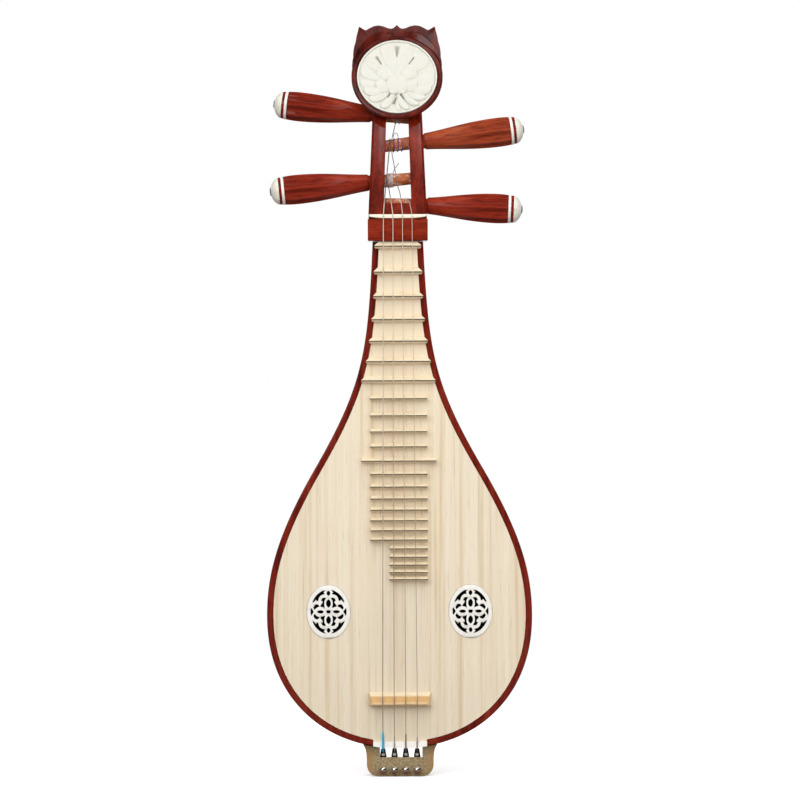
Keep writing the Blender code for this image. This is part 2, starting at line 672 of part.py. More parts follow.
def fret_height(number):
    """Height of a fret's crest over the board, a little under the strings."""
    share = (number - 1) / (LAST_FRET - 1)
    clearance = FRET_CLEARANCE_FIRST + (FRET_CLEARANCE_LAST - FRET_CLEARANCE_FIRST) * share
    return string_height(fret_z(number)) - clearance


def fret_z(number):
    """Equal temperament: each fret shortens the string by the twelfth root of two."""
    scale = SCALE_LENGTH - NUT_SETBACK - BRIDGE_SETBACK
    left = 2.0 ** (-number / 12.0)
    left_at_last = 2.0 ** (-LAST_FRET / 12.0)
    pull = FRET_PULL * math.sin(math.pi * (1.0 - left) / (1.0 - left_at_last))
    return BRIDGE_Z + BRIDGE_SETBACK + scale * left - pull


def fret_span(number):
    """Left and right end of a fret's crest."""
    if number <= len(NECK_FRET_LENGTHS):
        half = NECK_FRET_LENGTHS[number - 1] / 2
        return -half, half
    if number == OCTAVE_FRET_NUMBER:
        return -OCTAVE_FRET_LENGTH / 2, OCTAVE_FRET_LENGTH / 2
    half = BODY_FRET_LENGTH / 2
    if number >= SHORT_FRET_FIRST:
        return half - SHORT_FRET_LENGTH, half
    return -half, half


def make_frets():
    """Bamboo wedges: a steep face towards the bridge and a long slope towards the nut."""
    for number in range(1, LAST_FRET + 1):
        on_neck = number <= len(NECK_FRET_LENGTHS)
        upper = NECK_FRET_UPPER_RUN if on_neck else BODY_FRET_UPPER_RUN
        lower = NECK_FRET_LOWER_RUN if on_neck else BODY_FRET_LOWER_RUN
        flare = NECK_FRET_FLARE if on_neck else BODY_FRET_FLARE
        left, right = fret_span(number)
        z = fret_z(number)
        height = fret_height(number)
        toe = 0.35 * height
        toe_z = min(z + upper, NECK_TOP_Z)
        rings = []
        for place, tall, inset in (
                (toe_z, toe, flare),
                (z + FRET_CREST / 2, height, 0.0),
                (z - FRET_CREST / 2, height, 0.0),
                (z - lower, 0.6 * height, 0.2 * flare)):
            rings.append([
                (left + inset, -GAP, place), (right - inset, -GAP, place),
                (right - inset, -tall, place), (left + inset, -tall, place)])
        mesh = loft_mesh("fret_%02d" % number, rings)
        add_piece("fret_%02d" % number, mesh, "bamboo")


def make_bridge():
    """The string bridge: a short toe, a long slope up to the crest and a steep lower face."""
    height = HEIGHT_AT_BRIDGE - max(STRING_RADII) - GAP
    taper = (BRIDGE_HALF_LENGTH - BRIDGE_CREST_HALF_LENGTH) / height
    rings = []
    for place, tall in (
            (BRIDGE_UPPER_RUN, BRIDGE_TOE), (BRIDGE_SHOULDER_RUN, BRIDGE_SHOULDER),
            (BRIDGE_CREST / 2, height), (-BRIDGE_CREST / 2, height), (-BRIDGE_LOWER_RUN, 0.7 * height)):
        top = BRIDGE_HALF_LENGTH - taper * tall
        rings.append([
            (-BRIDGE_HALF_LENGTH, -GAP, BRIDGE_Z + place), (BRIDGE_HALF_LENGTH, -GAP, BRIDGE_Z + place),
            (top, -tall, BRIDGE_Z + place), (-top, -tall, BRIDGE_Z + place)])
    bridge = add_piece("bridge", loft_mesh("bridge", rings), "bamboo")
    add_bevel(bridge, 0.4 * MM, 1, math.radians(60.0))


def end_curve(across):
    """Height of the body's lower end at a distance from the centre line."""
    line = half_outline()[:OUTLINE_POINTS]
    return float(np.interp(across, line[:, 0], line[:, 1]))


def make_saddle():
    """The white strip that carries the strings over the end of the body, flush with its curve."""
    curve = [(x, end_curve(x)) for x in np.linspace(0.0, SADDLE_HALF_LENGTH, 6)]
    outline = full_outline(curve + [(SADDLE_HALF_LENGTH, SADDLE_TOP_Z)])
    mesh = plate_mesh("saddle", [outline], -SADDLE_PROUD, SADDLE_DEPTH, FRONT_VIEW)
    saddle = add_piece("saddle", mesh, "white_bone")
    add_bevel(saddle, SADDLE_ROUNDING, 2)


def make_nut():
    """The red nut block on the neck's front, and the bone strip on its upper edge."""
    strip_low = NUT_Z - NUT_STRIP_HEIGHT / 2
    strip_high = NUT_Z + NUT_STRIP_HEIGHT / 2
    block = box_mesh(
        "nut_block", (-NUT_BLOCK_HALF_WIDTH, -NUT_BLOCK_PROUD, NECK_TOP_Z + GAP),
        (NUT_BLOCK_HALF_WIDTH, 0.0, strip_low - GAP))
    add_bevel(add_piece("nut_block", block, "red_hardwood"), 0.5 * MM)
    crest = HEIGHT_AT_NUT - max(STRING_RADII) - GAP
    strip = box_mesh(
        "nut_strip", (-NUT_STRIP_HALF_LENGTH, -crest, strip_low),
        (NUT_STRIP_HALF_LENGTH, 0.0, strip_high))
    add_bevel(add_piece("nut_strip", strip, "white_bone"), 1.2 * MM, 2)


def make_lean():
    """An empty at the foot of the pegbox's front, leaning back with the pegbox.

    In its axes X is across, Y is the depth behind the cheeks' front face and Z
    runs up the pegbox.
    """
    lean = bpy.data.objects.new("pegbox_lean", None)
    LIUQIN.objects.link(lean)
    lean.location = (0.0, -NUT_BLOCK_PROUD, PEGBOX_FOOT_Z)
    lean.rotation_euler = (-LEAN, 0.0, 0.0)
    return lean


def to_lean(y, z):
    """Depth and height up the pegbox of a point given by the instrument's y and z."""
    dy = y + NUT_BLOCK_PROUD
    dz = z - PEGBOX_FOOT_Z
    return dy * math.cos(LEAN) - dz * math.sin(LEAN), dy * math.sin(LEAN) + dz * math.cos(LEAN)


def cheek_half_width(height):
    """Half the pegbox's width at a height up the pegbox."""
    share = max(0.0, height / PEGBOX_LENGTH)
    return PEGBOX_FOOT_HALF_WIDTH + (PEGBOX_HEAD_HALF_WIDTH - PEGBOX_FOOT_HALF_WIDTH) * share


def taper_plate(mesh, width_at):
    """Set the half width of a plate that runs across, from its height up the pegbox."""
    for vertex in mesh.vertices:
        vertex.co.x = math.copysign(width_at(vertex.co.z), vertex.co.x)


def make_pegbox(lean):
    """Two cheeks, a thin front plate and the solid foot that meets the neck."""
    back_foot = to_lean(NECK_DEPTH, NECK_TOP_Z + GAP)
    front_foot = to_lean(GAP, NECK_TOP_Z + GAP)
    ledge = to_lean(GAP, PEGBOX_FOOT_Z)
    profile = [
        front_foot, ledge, (0.0, 0.0), (0.0, FRONT_PLATE_HEIGHT), (0.0, PEGBOX_LENGTH),
        (PEGBOX_HEAD_DEPTH, PEGBOX_LENGTH), (PEGBOX_FOOT_DEPTH, 8.0 * MM), back_foot]
    mesh = plate_mesh("pegbox", [profile], -1.0 * MM, 1.0 * MM, SIDE_VIEW)
    taper_plate(mesh, cheek_half_width)
    pegbox = add_piece("pegbox", mesh, "red_hardwood", lean)

    slot_profile = [
        (FRONT_PLATE_THICKNESS, SLOT_FLOOR), (FRONT_PLATE_THICKNESS, FRONT_PLATE_HEIGHT),
        (-1.0 * MM, FRONT_PLATE_HEIGHT), (-1.0 * MM, SLOT_TOP),
        (PEGBOX_FOOT_DEPTH + 2.0 * MM, SLOT_TOP), (PEGBOX_FOOT_DEPTH + 2.0 * MM, SLOT_FLOOR)]
    slot = plate_mesh("peg_slot", [slot_profile], -1.0 * MM, 1.0 * MM, SIDE_VIEW)
    narrowing = (SLOT_HEAD_HALF_WIDTH - SLOT_FOOT_HALF_WIDTH) / SLOT_TOP
    taper_plate(slot, lambda height: SLOT_FOOT_HALF_WIDTH + narrowing * height)
    add_boolean(pegbox, add_cutter("slot_cutter", slot, lean), "DIFFERENCE")
    return pegbox


def make_peg_frame(lean, name):
    """An empty on a peg's axis: its X points out along the handle."""
    peg = PEGS[name]
    frame = bpy.data.objects.new(name + "_axis", None)
    LIUQIN.objects.link(frame)
    frame.parent = lean
    frame.location = (0.0, PEG_DEPTH, peg["height"])
    turn = -peg["tilt"] if peg["side"] > 0 else math.pi + peg["tilt"]
    frame.rotation_euler = (0.0, turn, 0.0)
    return frame


def peg_cheek(name):
    """Distance along a peg's axis from the centre plane to its cheek's outer face."""
    peg = PEGS[name]
    height = peg["height"] + math.sin(peg["tilt"]) * PEGBOX_FOOT_HALF_WIDTH
    return cheek_half_width(height) / math.cos(peg["tilt"])


def shaft_radius(name, along):
    """Radius of a peg's tapered shaft at a distance from the centre plane."""
    cheek = peg_cheek(name)
    share = (along + cheek) / (2 * cheek)
    return PEG_END_RADIUS + (PEG_SHAFT_RADIUS - PEG_END_RADIUS) * share


def peg_rings(name):
    """Rings of one peg from the shaft's end to the cap: (place, radius, fluted share)."""
    cheek = peg_cheek(name)
    cap_start = PEGS[name]["reach"] - PEG_CAP_LENGTH
    band_start = cap_start - PEG_BAND_LENGTH
    ring_start = band_start - PEG_RING_LENGTH
    start = cheek + GAP + PEG_COLLAR_RADIUS * math.tan(abs(PEGS[name]["tilt"]) + CHEEK_TAPER)
    run = ring_start - start
    rings = [(0.5 * MM - cheek, shaft_radius(name, -cheek), 0.0), (start - GAP, PEG_SHAFT_RADIUS, 0.0)]
    widening = PEG_HANDLE_RADIUS - PEG_COLLAR_RADIUS
    for share in np.linspace(0.0, 1.0, 9):
        rise = math.sin(math.pi / 2 * min(1.0, share / PEG_WIDEST_SHARE)) ** 1.37
        past = max(0.0, share - PEG_WIDEST_SHARE) / (1.0 - PEG_WIDEST_SHARE)
        radius = PEG_COLLAR_RADIUS + widening * rise - PEG_NARROWING * past ** 2
        rings.append((start + run * share, radius, min(1.0, 3.0 * share)))
    rings.append((band_start, PEG_HANDLE_RADIUS - 1.5 * PEG_NARROWING, 0.8))
    rings.append((band_start, PEG_CAP_RADIUS, 0.8))
    for share in (0.0, 0.45, 0.75, 0.93):
        rings.append((cap_start + PEG_CAP_LENGTH * share, PEG_CAP_RADIUS * math.sqrt(1.0 - share ** 1.5), 0.8))
    rings.append((cap_start + PEG_CAP_LENGTH, 1.2 * MM, 0.0))
    return rings


def make_peg(name, frame):
    """A peg turned and then fluted: every second point of a ring lies in a flute."""
    rings = []
    for along, radius, fluted in peg_rings(name):
        ring = []
        for i in range(2 * PEG_FLUTES):
            angle = math.pi * i / PEG_FLUTES
            depth = PEG_FLUTE_DEPTH * fluted * (i % 2)
            ring.append((along, radius * (1 - depth) * math.cos(angle), radius * (1 - depth) * math.sin(angle)))
        rings.append(ring)
    add_piece(name, loft_mesh(name, rings), "red_hardwood", frame)


def drill_cheeks(pegbox, name, frame):
    """The tapered bore for one peg through both cheeks."""
    cheek = peg_cheek(name)
    cage = bmesh.new()
    reach = cheek + 4.0 * MM
    place = Matrix.Rotation(math.pi / 2, 4, "Y")
    bmesh.ops.create_cone(
        cage, cap_ends=True, segments=20, radius1=shaft_radius(name, -reach) + 2 * GAP,
        radius2=shaft_radius(name, reach) + 2 * GAP, depth=2 * reach, matrix=place)
    cutter = add_cutter("bore_" + name, finish_bmesh(cage, "bore_" + name), frame)
    add_boolean(pegbox, cutter, "DIFFERENCE")


def winding_points(name, wire_radius):
    """One unbroken helix round a peg's shaft, in the peg's own axes.

    It starts at the shaft's front, where the string arrives, and runs over the
    upper side to the back.
    """
    peg = PEGS[name]
    winding = WINDINGS[name]
    count = winding["turns"] * WINDING_POINTS_PER_TURN + 1
    turn = np.linspace(0.0, 2 * math.pi * winding["turns"], count)
    along = peg["side"] * (winding["start"] + WINDING_PITCH * turn / (2 * math.pi))
    radius = np.array([shaft_radius(name, a) for a in along]) + 1.5 * GAP + wire_radius
    return np.column_stack([along, -radius * np.cos(turn), peg["side"] * radius * np.sin(turn)])


def least_gap(points, wire_radius, points_per_turn):
    """Least distance between neighbouring turns of a wire, from surface to surface."""
    away = np.linalg.norm(points[:, None] - points[None], axis=2)
    index = np.arange(len(points))
    apart = np.abs(index[:, None] - index[None]) > points_per_turn // 2
    return float(away[apart].min() - 2 * wire_radius)


def make_windings(frames):
    """The wire wound on each peg."""
    for index, name in enumerate(PEGS):
        wire = STRING_RADII[index]
        points = winding_points(name, wire)
        gap = least_gap(points, wire, WINDING_POINTS_PER_TURN)
        print("winding on %s: least gap between turns %.2f mm" % (name, gap / MM))
        title = "string_%d_winding" % (index + 1)
        mesh = mesh_from_curve(tube_curve(title, points, wire))
        add_piece(title, mesh, "string_steel", frames[name])


def lean_to_world(across, depth, height):
    """A point in the pegbox's axes, in the instrument's axes."""
    y = -NUT_BLOCK_PROUD + depth * math.cos(LEAN) + height * math.sin(LEAN)
    z = PEGBOX_FOOT_Z + height * math.cos(LEAN) - depth * math.sin(LEAN)
    return np.array((across, y, z))


def string_route(index):
    """The string's way from its ball over saddle, bridge and nut to its peg.

    It stops clear of the cylinder that its winding sweeps, so the peg can turn.
    """
    name = list(PEGS)[index]
    wire = STRING_RADII[index]
    tail_x = string_x(index, TUNER_SPACING)
    bridge_x = string_x(index, BRIDGE_SPACING)
    nut_x = string_x(index, NUT_SPACING)
    bend_radius = SADDLE_ROUNDING + GAP + wire
    bend_centre = (SADDLE_ROUNDING - SADDLE_PROUD, end_curve(abs(tail_x) - wire) + SADDLE_ROUNDING)
    round_saddle = [
        (tail_x, bend_centre[0] - bend_radius * math.cos(t), bend_centre[1] - bend_radius * math.sin(t))
        for t in (0.45 * math.pi, 0.3 * math.pi, 0.15 * math.pi, 0.0)]
    ball = (tail_x, BALL_DEPTH, LEVER_NOSE_FLOOR_Z - GAP - BALL_RADIUS)
    nut = np.array((nut_x, -HEIGHT_AT_NUT, NUT_Z))
    peg = PEGS[name]
    start = WINDINGS[name]["start"]
    along = peg["side"] * start
    radius = shaft_radius(name, along) + 1.5 * GAP + wire
    across = start * math.cos(peg["tilt"])
    peg_height = peg["height"] + along * math.sin(peg["tilt"])
    edge_share = FRONT_PLATE_HEIGHT / peg_height
    edge = np.array((nut_x + (across - nut_x) * edge_share, -GAP - 1.2 * wire, FRONT_PLATE_HEIGHT + 0.5 * MM))
    centre = np.array((PEG_DEPTH, peg_height))
    to_centre = centre - edge[1:]
    away = np.linalg.norm(to_centre)
    bend = math.atan2(to_centre[0], to_centre[1]) - math.asin(radius / away)
    clear = math.sqrt((radius + 2 * wire + 2 * GAP) ** 2 - radius ** 2)
    run = math.sqrt(away ** 2 - radius ** 2) - clear
    end = (across, edge[1] + run * math.sin(bend), edge[2] + run * math.cos(bend))
    return [
        ball,
        *round_saddle,
        (tail_x, bend_centre[0] - bend_radius, SADDLE_TOP_Z - 0.6 * MM),
        (bridge_x, -HEIGHT_AT_BRIDGE, BRIDGE_Z - 0.6 * BRIDGE_CREST),
        (bridge_x, -HEIGHT_AT_BRIDGE, BRIDGE_Z + 0.6 * BRIDGE_CREST),
        nut - (0, 0, NUT_STRIP_HEIGHT / 4),
        nut + (0, 0, NUT_STRIP_HEIGHT / 4),
        lean_to_world(*edge),
        lean_to_world(*end)]


def make_strings():
    """The four strings, each with the ball that hooks under its lever."""
    for index in range(STRING_COUNT):
        title = "string_%d" % (index + 1)
        route = string_route(index)
        mesh = mesh_from_curve(tube_curve(title, route, STRING_RADII[index]))
        string = add_piece(title, mesh, "string_steel")
        cage = bmesh.new()
        place = Matrix.Translation(Vector(route[0]))
        bmesh.ops.create_uvsphere(cage, u_segments=12, v_segments=8, radius=BALL_RADIUS, matrix=place)
        ball = add_cutter("ball_%d" % (index + 1), finish_bmesh(cage, "ball_%d" % (index + 1)))
        add_boolean(string, ball, "UNION")


def head_outline():
    """The head plate seen from the front: a half circle below and the crown above."""
    low = [
        (RING_RADIUS * math.sin(t), RING_CENTRE - RING_RADIUS * math.cos(t))
        for t in np.linspace(0.0, 0.5 * math.pi, 13)]
    shares = [
        (0.985, 0.226), (0.962, 0.503), (0.908, 0.884), (0.836, 1.250), (0.686, 1.151), (0.603, 1.204),
        (0.503, 1.256), (0.397, 1.271), (0.289, 1.246), (0.201, 1.204), (0.133, 1.188), (0.075, 1.204),
        (0.0, 1.281)]
    crown = [(RING_RADIUS * x, RING_CENTRE + RING_RADIUS * z) for x, z in shares]
    return full_outline([(max(0.0, x), z) for x, z in low + crown])


def make_head(lean):
    """The carved head: plate, block that sits on the pegbox, ring and flower pocket."""
    front = -GAP - HEAD_PLATE_THICKNESS
    mesh = plate_mesh("head_frame", [head_outline()], front, -GAP, FRONT_VIEW)
    for vertex in mesh.vertices:
        if vertex.co.y > front / 2:
            vertex.co.x *= HEAD_BACK_SHARE
            vertex.co.z = RING_CENTRE + (vertex.co.z - RING_CENTRE) * HEAD_BACK_SHARE
    head = add_piece("head_frame", mesh, "red_hardwood", lean)

    foot = PEGBOX_LENGTH + GAP
    block_profile = [
        (-2.0 * MM, foot), (HEAD_BLOCK_DEPTH, foot), (0.85 * HEAD_BLOCK_DEPTH, foot + 0.35 * RING_RADIUS),
        (HEAD_BLOCK_TOP_DEPTH, HEAD_BLOCK_TOP), (-2.0 * MM, HEAD_BLOCK_TOP)]
    block = plate_mesh("head_block", [block_profile], -PEGBOX_HEAD_HALF_WIDTH, PEGBOX_HEAD_HALF_WIDTH, SIDE_VIEW)
    add_boolean(head, add_cutter("head_block_form", block, lean), "UNION")

    pocket = ellipse(0.0, RING_CENTRE, RING_RADIUS - RING_WIDTH, RING_RADIUS - RING_WIDTH, 48)
    pocket_mesh = plate_mesh("flower_pocket", [pocket], front - 5.0 * MM, front + FLOWER_POCKET_DEPTH, FRONT_VIEW)
    ring_mesh = ring_profile_mesh(front)
    add_boolean(head, add_cutter("ring_form", ring_mesh, lean), "UNION")
    add_boolean(head, add_cutter("flower_pocket_cutter", pocket_mesh, lean), "DIFFERENCE")


def ring_profile_mesh(front):
    """The raised ring round the flower, a half-round section turned about its centre."""
    cage = bmesh.new()
    inner = RING_RADIUS - RING_WIDTH - 1.0 * MM
    outer = RING_RADIUS - 0.5 * MM
    middle = RING_RADIUS - RING_WIDTH / 2
    section = [(inner, front + 2.0 * MM), (inner, front - 0.6 * RING_PROUD), (middle, front - RING_PROUD),
               (outer, front - 0.5 * RING_PROUD), (outer, front + 0.8 * MM)]
    rows = []
    for t in np.linspace(0.0, 2 * math.pi, 48, endpoint=False):
        rows.append([
            cage.verts.new((r * math.cos(t), y, RING_CENTRE + r * math.sin(t))) for r, y in section])
    for row, following in zip(rows, rows[1:] + rows[:1]):
        for i in range(len(section)):
            j = (i + 1) % len(section)
            cage.faces.new((row[i], row[j], following[j], following[i]))
    return finish_bmesh(cage, "ring_form")


def petal_relief(radius, angle):
    """Height of the carving over the disc, from 0 to 1: two rows of petals and a heart."""
    r = radius / (RING_RADIUS - RING_WIDTH)
    outer = abs(math.cos(4.5 * angle)) ** 0.5 * math.sin(math.pi * min(1.0, r) ** 2.0) * 0.55
    inner = (0.55 + 0.45 * abs(math.cos(3.5 * angle + 0.4))) * math.exp(-((r - 0.42) / 0.17) ** 2)
    heart = math.exp(-(r / 0.22) ** 2)
    return min(1.0, max(outer, inner, heart))


def make_flower(lean):
    """The white carved disc that sits in the ring."""
    edge = RING_RADIUS - RING_WIDTH - GAP
    floor = -GAP - HEAD_PLATE_THICKNESS + FLOWER_POCKET_DEPTH - GAP
    face = floor - FLOWER_THICKNESS + FLOWER_RELIEF
    spokes = 36
    cage = bmesh.new()
    rings = []
    radii = [edge, edge, 0.93 * edge, 0.80 * edge, 0.66 * edge, 0.52 * edge, 0.38 * edge, 0.24 * edge, 0.10 * edge]
    for number, radius in enumerate(radii):
        ring = []
        for i in range(spokes):
            angle = 2 * math.pi * i / spokes
            lift = FLOWER_RELIEF * petal_relief(radius, angle) if number > 1 else 0.0
            depth = floor if number == 0 else face - lift
            ring.append(cage.verts.new((radius * math.sin(angle), depth, RING_CENTRE + radius * math.cos(angle))))
        rings.append(ring)
    for ring, following in zip(rings, rings[1:]):
        for i in range(spokes):
            j = (i + 1) % spokes
            cage.faces.new((ring[i], ring[j], following[j], following[i]))
    cage.faces.new(rings[0])
    cage.faces.new(rings[-1])
    add_piece("head_flower", finish_bmesh(cage, "head_flower"), "white_bone", lean)


def tail_outline():
    """The tailpiece from the front: rounded lower corners and flared shoulders."""
    corner = [
        (TAIL_HALF_WIDTH - TAIL_CORNER * (1 - math.sin(t)), TAIL_CORNER * (1 - math.cos(t)))
        for t in np.linspace(0.0, 0.5 * math.pi, 8)]
    flare = [
        (TAIL_HALF_WIDTH + 0.1 * MM, 15.0 * MM), (TAIL_HALF_WIDTH + 0.4 * MM, 20.0 * MM),
        (TAIL_HALF_WIDTH + 1.1 * MM, 23.5 * MM), (TAIL_HALF_WIDTH + 2.4 * MM, 26.3 * MM),
        (TAIL_SHOULDER_HALF_WIDTH + 0.8 * MM, TAIL_SHOULDER_Z)]
    return full_outline(corner + flare)


def make_tailpiece():
    """The housing: window for the levers, pocket behind its front wall and pivot rod."""
    back = TAIL_DEPTH - TAIL_FRONT
    mesh = plate_mesh("tailpiece", [tail_outline()], -TAIL_FRONT, back, FRONT_VIEW)
    tail = add_piece("tailpiece", mesh, "horn")
    body = bowl_mesh("body_clearance", -GAP, -20.0 * MM, -GAP, 2.0 * TAIL_SHOULDER_Z, BOWL_STATIONS, 2 * RIB_STEPS)
    add_boolean(tail, add_cutter("body_clearance_cutter", body), "DIFFERENCE")
    window = box_mesh(
        "tail_window", (-WINDOW_LEFT, -TAIL_FRONT - 2.0 * MM, WINDOW_SILL_Z),
        (WINDOW_RIGHT, back + 2.0 * MM, TAIL_SHOULDER_Z + 5.0 * MM))
    add_boolean(tail, add_cutter("window_cutter", window), "DIFFERENCE")
    pocket = box_mesh(
        "tail_pocket", (-WINDOW_LEFT, TAIL_WALL - TAIL_FRONT, TAIL_FLOOR),
        (WINDOW_RIGHT, back - TAIL_WALL, WINDOW_SILL_Z + 2.0 * MM))
    add_boolean(tail, add_cutter("pocket_cutter", pocket), "DIFFERENCE")
    rod = rod_mesh(
        "pivot_rod", (-WINDOW_LEFT - 1.0 * MM, PIVOT_DEPTH, PIVOT_Z),
        (WINDOW_RIGHT + 1.0 * MM, PIVOT_DEPTH, PIVOT_Z), PIVOT_ROD_RADIUS, 12)
    add_boolean(tail, add_cutter("pivot_rod_form", rod), "UNION")
    for index in range(STRING_COUNT):
        x = string_x(index, TUNER_SPACING)
        hole = rod_mesh(
            "screw_hole", (x, -TAIL_FRONT - 1.0 * MM, SCREW_Z), (x, TAIL_WALL - TAIL_FRONT + 1.0 * MM, SCREW_Z),
            SCREW_RADIUS + GAP, 12)
        add_boolean(tail, add_cutter("screw_hole_%d" % (index + 1), hole), "DIFFERENCE")


def make_levers():
    """Bell-crank levers: a forked nose in the window and a leg before each screw."""
    leg_front = PIVOT_DEPTH - LEVER_THICKNESS / 2
    leg_back = PIVOT_DEPTH + LEVER_THICKNESS / 2
    eye = PIVOT_ROD_RADIUS + GAP
    profile = [
        (LEVER_NOSE_FRONT, LEVER_NOSE_FLOOR_Z), (5.5 * MM, LEVER_NOSE_FLOOR_Z),
        (leg_front - 1.3 * MM, PIVOT_Z + 1.0 * MM),
        (leg_front - 0.3 * MM, PIVOT_Z - 3.5 * MM), (leg_front, SCREW_Z - 1.8 * MM), (leg_back, SCREW_Z - 1.8 * MM),
        (leg_back + 1.3 * MM, PIVOT_Z), (leg_back, PIVOT_Z + 3.6 * MM), (7.5 * MM, LEVER_NOSE_TOP_Z - 0.6 * MM),
        (LEVER_NOSE_FRONT + 0.6 * MM, LEVER_NOSE_TOP_Z)]
    for index in range(STRING_COUNT):
        x = string_x(index, TUNER_SPACING)
        name = "tuner_lever_%d" % (index + 1)
        local = [(y - PIVOT_DEPTH, z - PIVOT_Z) for y, z in profile]
        bore = ellipse(0.0, 0.0, eye, eye, 12)
        mesh = plate_mesh(name, [local, bore], -LEVER_HALF_WIDTH, LEVER_HALF_WIDTH, SIDE_VIEW)
        taper = (LEVER_HALF_WIDTH - LEVER_TIP_HALF_WIDTH) / (LEVER_NOSE_TOP_Z - WINDOW_SILL_Z)
        for vertex in mesh.vertices:
            above_sill = max(0.0, vertex.co.z + PIVOT_Z - WINDOW_SILL_Z)
            vertex.co.x *= 1.0 - taper * above_sill / LEVER_HALF_WIDTH
        lever = add_piece(name, mesh, "black_steel")
        lever.location = (x, PIVOT_DEPTH, PIVOT_Z)
        slot = box_mesh(
            "string_slot", (x - LEVER_SLOT_HALF_WIDTH, LEVER_NOSE_FRONT - 2.0 * MM, LEVER_NOSE_FLOOR_Z - 2.0 * MM),
            (x + LEVER_SLOT_HALF_WIDTH, BALL_DEPTH + LEVER_SLOT_HALF_WIDTH, LEVER_NOSE_TOP_Z + 2.0 * MM))
        add_boolean(lever, add_cutter("slot_%d" % (index + 1), slot), "DIFFERENCE")


def make_screws():
    """Knurled thumbscrews that push the levers' legs."""
    tip = PIVOT_DEPTH - LEVER_THICKNESS / 2 - GAP
    shank_start = -TAIL_FRONT - GAP
    head_start = shank_start - SCREW_HEAD_LENGTH
    for index in range(STRING_COUNT):
        rings = []
        for y, radius, knurl in (
                (head_start, 0.72 * SCREW_HEAD_RADIUS, 0.0),
                (head_start + 0.9 * MM, SCREW_HEAD_RADIUS, 1.0),
                (shank_start - 0.9 * MM, SCREW_HEAD_RADIUS, 1.0),
                (shank_start, 0.8 * SCREW_HEAD_RADIUS, 0.0),
                (shank_start, SCREW_RADIUS, 0.0),
                (tip - 0.5 * MM, SCREW_RADIUS, 0.0),
                (tip, 0.6 * SCREW_RADIUS, 0.0)):
            ring = []
            for i in range(SCREW_KNURLS):
                angle = 2 * math.pi * i / SCREW_KNURLS
                reach = radius * (1 - 0.07 * knurl * (i % 2))
                ring.append((reach * math.cos(angle), y, reach * math.sin(angle)))
            rings.append(ring)
        name = "tuner_screw_%d" % (index + 1)
        screw = add_piece(name, loft_mesh(name, rings), "chrome")
        screw.location = (string_x(index, TUNER_SPACING), 0.0, SCREW_Z)


make_body()
make_soundboard()
make_braces()
make_rosettes()
make_frets()
make_bridge()
make_saddle()
make_nut()
LEAN_FRAME = make_lean()
PEGBOX = make_pegbox(LEAN_FRAME)
PEG_FRAMES = {name: make_peg_frame(LEAN_FRAME, name) for name in PEGS}
for peg_name, peg_frame in PEG_FRAMES.items():
    drill_cheeks(PEGBOX, peg_name, peg_frame)
    make_peg(peg_name, peg_frame)
make_windings(PEG_FRAMES)
make_head(LEAN_FRAME)
make_flower(LEAN_FRAME)
make_tailpiece()
make_levers()
make_screws()
make_strings()
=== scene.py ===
"""A liuqin, a small four-string plucked lute, standing on its tailpiece."""
import math

import bmesh
import bpy
import numpy as np
from mathutils import Matrix, Vector


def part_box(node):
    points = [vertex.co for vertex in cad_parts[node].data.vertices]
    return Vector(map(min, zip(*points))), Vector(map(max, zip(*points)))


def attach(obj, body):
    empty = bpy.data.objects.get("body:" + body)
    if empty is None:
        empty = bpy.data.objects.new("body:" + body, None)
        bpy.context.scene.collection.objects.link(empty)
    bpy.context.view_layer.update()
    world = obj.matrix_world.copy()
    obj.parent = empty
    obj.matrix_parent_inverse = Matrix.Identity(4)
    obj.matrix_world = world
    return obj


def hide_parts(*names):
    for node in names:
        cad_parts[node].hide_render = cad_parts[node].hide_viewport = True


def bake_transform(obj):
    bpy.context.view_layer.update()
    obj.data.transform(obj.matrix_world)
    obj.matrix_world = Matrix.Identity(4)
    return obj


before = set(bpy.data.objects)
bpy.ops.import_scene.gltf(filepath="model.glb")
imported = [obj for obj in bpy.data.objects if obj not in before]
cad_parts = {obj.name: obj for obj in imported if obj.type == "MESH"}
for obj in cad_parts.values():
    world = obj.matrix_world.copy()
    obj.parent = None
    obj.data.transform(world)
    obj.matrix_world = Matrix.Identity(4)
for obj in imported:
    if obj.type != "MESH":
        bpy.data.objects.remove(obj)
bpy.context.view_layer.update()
MM = 0.001


# Camera: a long lens three metres in front of the soundboard, level with the
# middle of the instrument, and turned by a quarter of a degree as the
# photographer held it.
CAMERA_DISTANCE = 3.0
CAMERA_HEIGHT = 325 * MM
CAMERA_SIDE = 1.25 * MM
VIEW_WIDTH = 691.5 * MM
CAMERA_ROLL = math.radians(0.27)

camera_data = bpy.data.cameras.new("camera")
camera_data.sensor_width = 36.0
camera_data.lens = camera_data.sensor_width * CAMERA_DISTANCE / VIEW_WIDTH
camera_data.clip_end = 30.0
camera = bpy.data.objects.new("camera", camera_data)
bpy.context.scene.collection.objects.link(camera)
camera.matrix_world = (
    Matrix.Translation((CAMERA_SIDE, -CAMERA_DISTANCE, CAMERA_HEIGHT))
    @ Matrix.Rotation(math.pi / 2, 4, "X")
    @ Matrix.Rotation(-CAMERA_ROLL, 4, "Z"))
bpy.context.scene.camera = camera
bpy.context.scene.view_settings.view_transform = "Standard"


def linear(code):
    """An sRGB hex colour as linear RGBA."""
    parts = [int(code[i:i + 2], 16) / 255 for i in (1, 3, 5)]
    return tuple(c / 12.92 if c <= 0.04045 else ((c + 0.055) / 1.055) ** 2.4 for c in parts) + (1.0,)


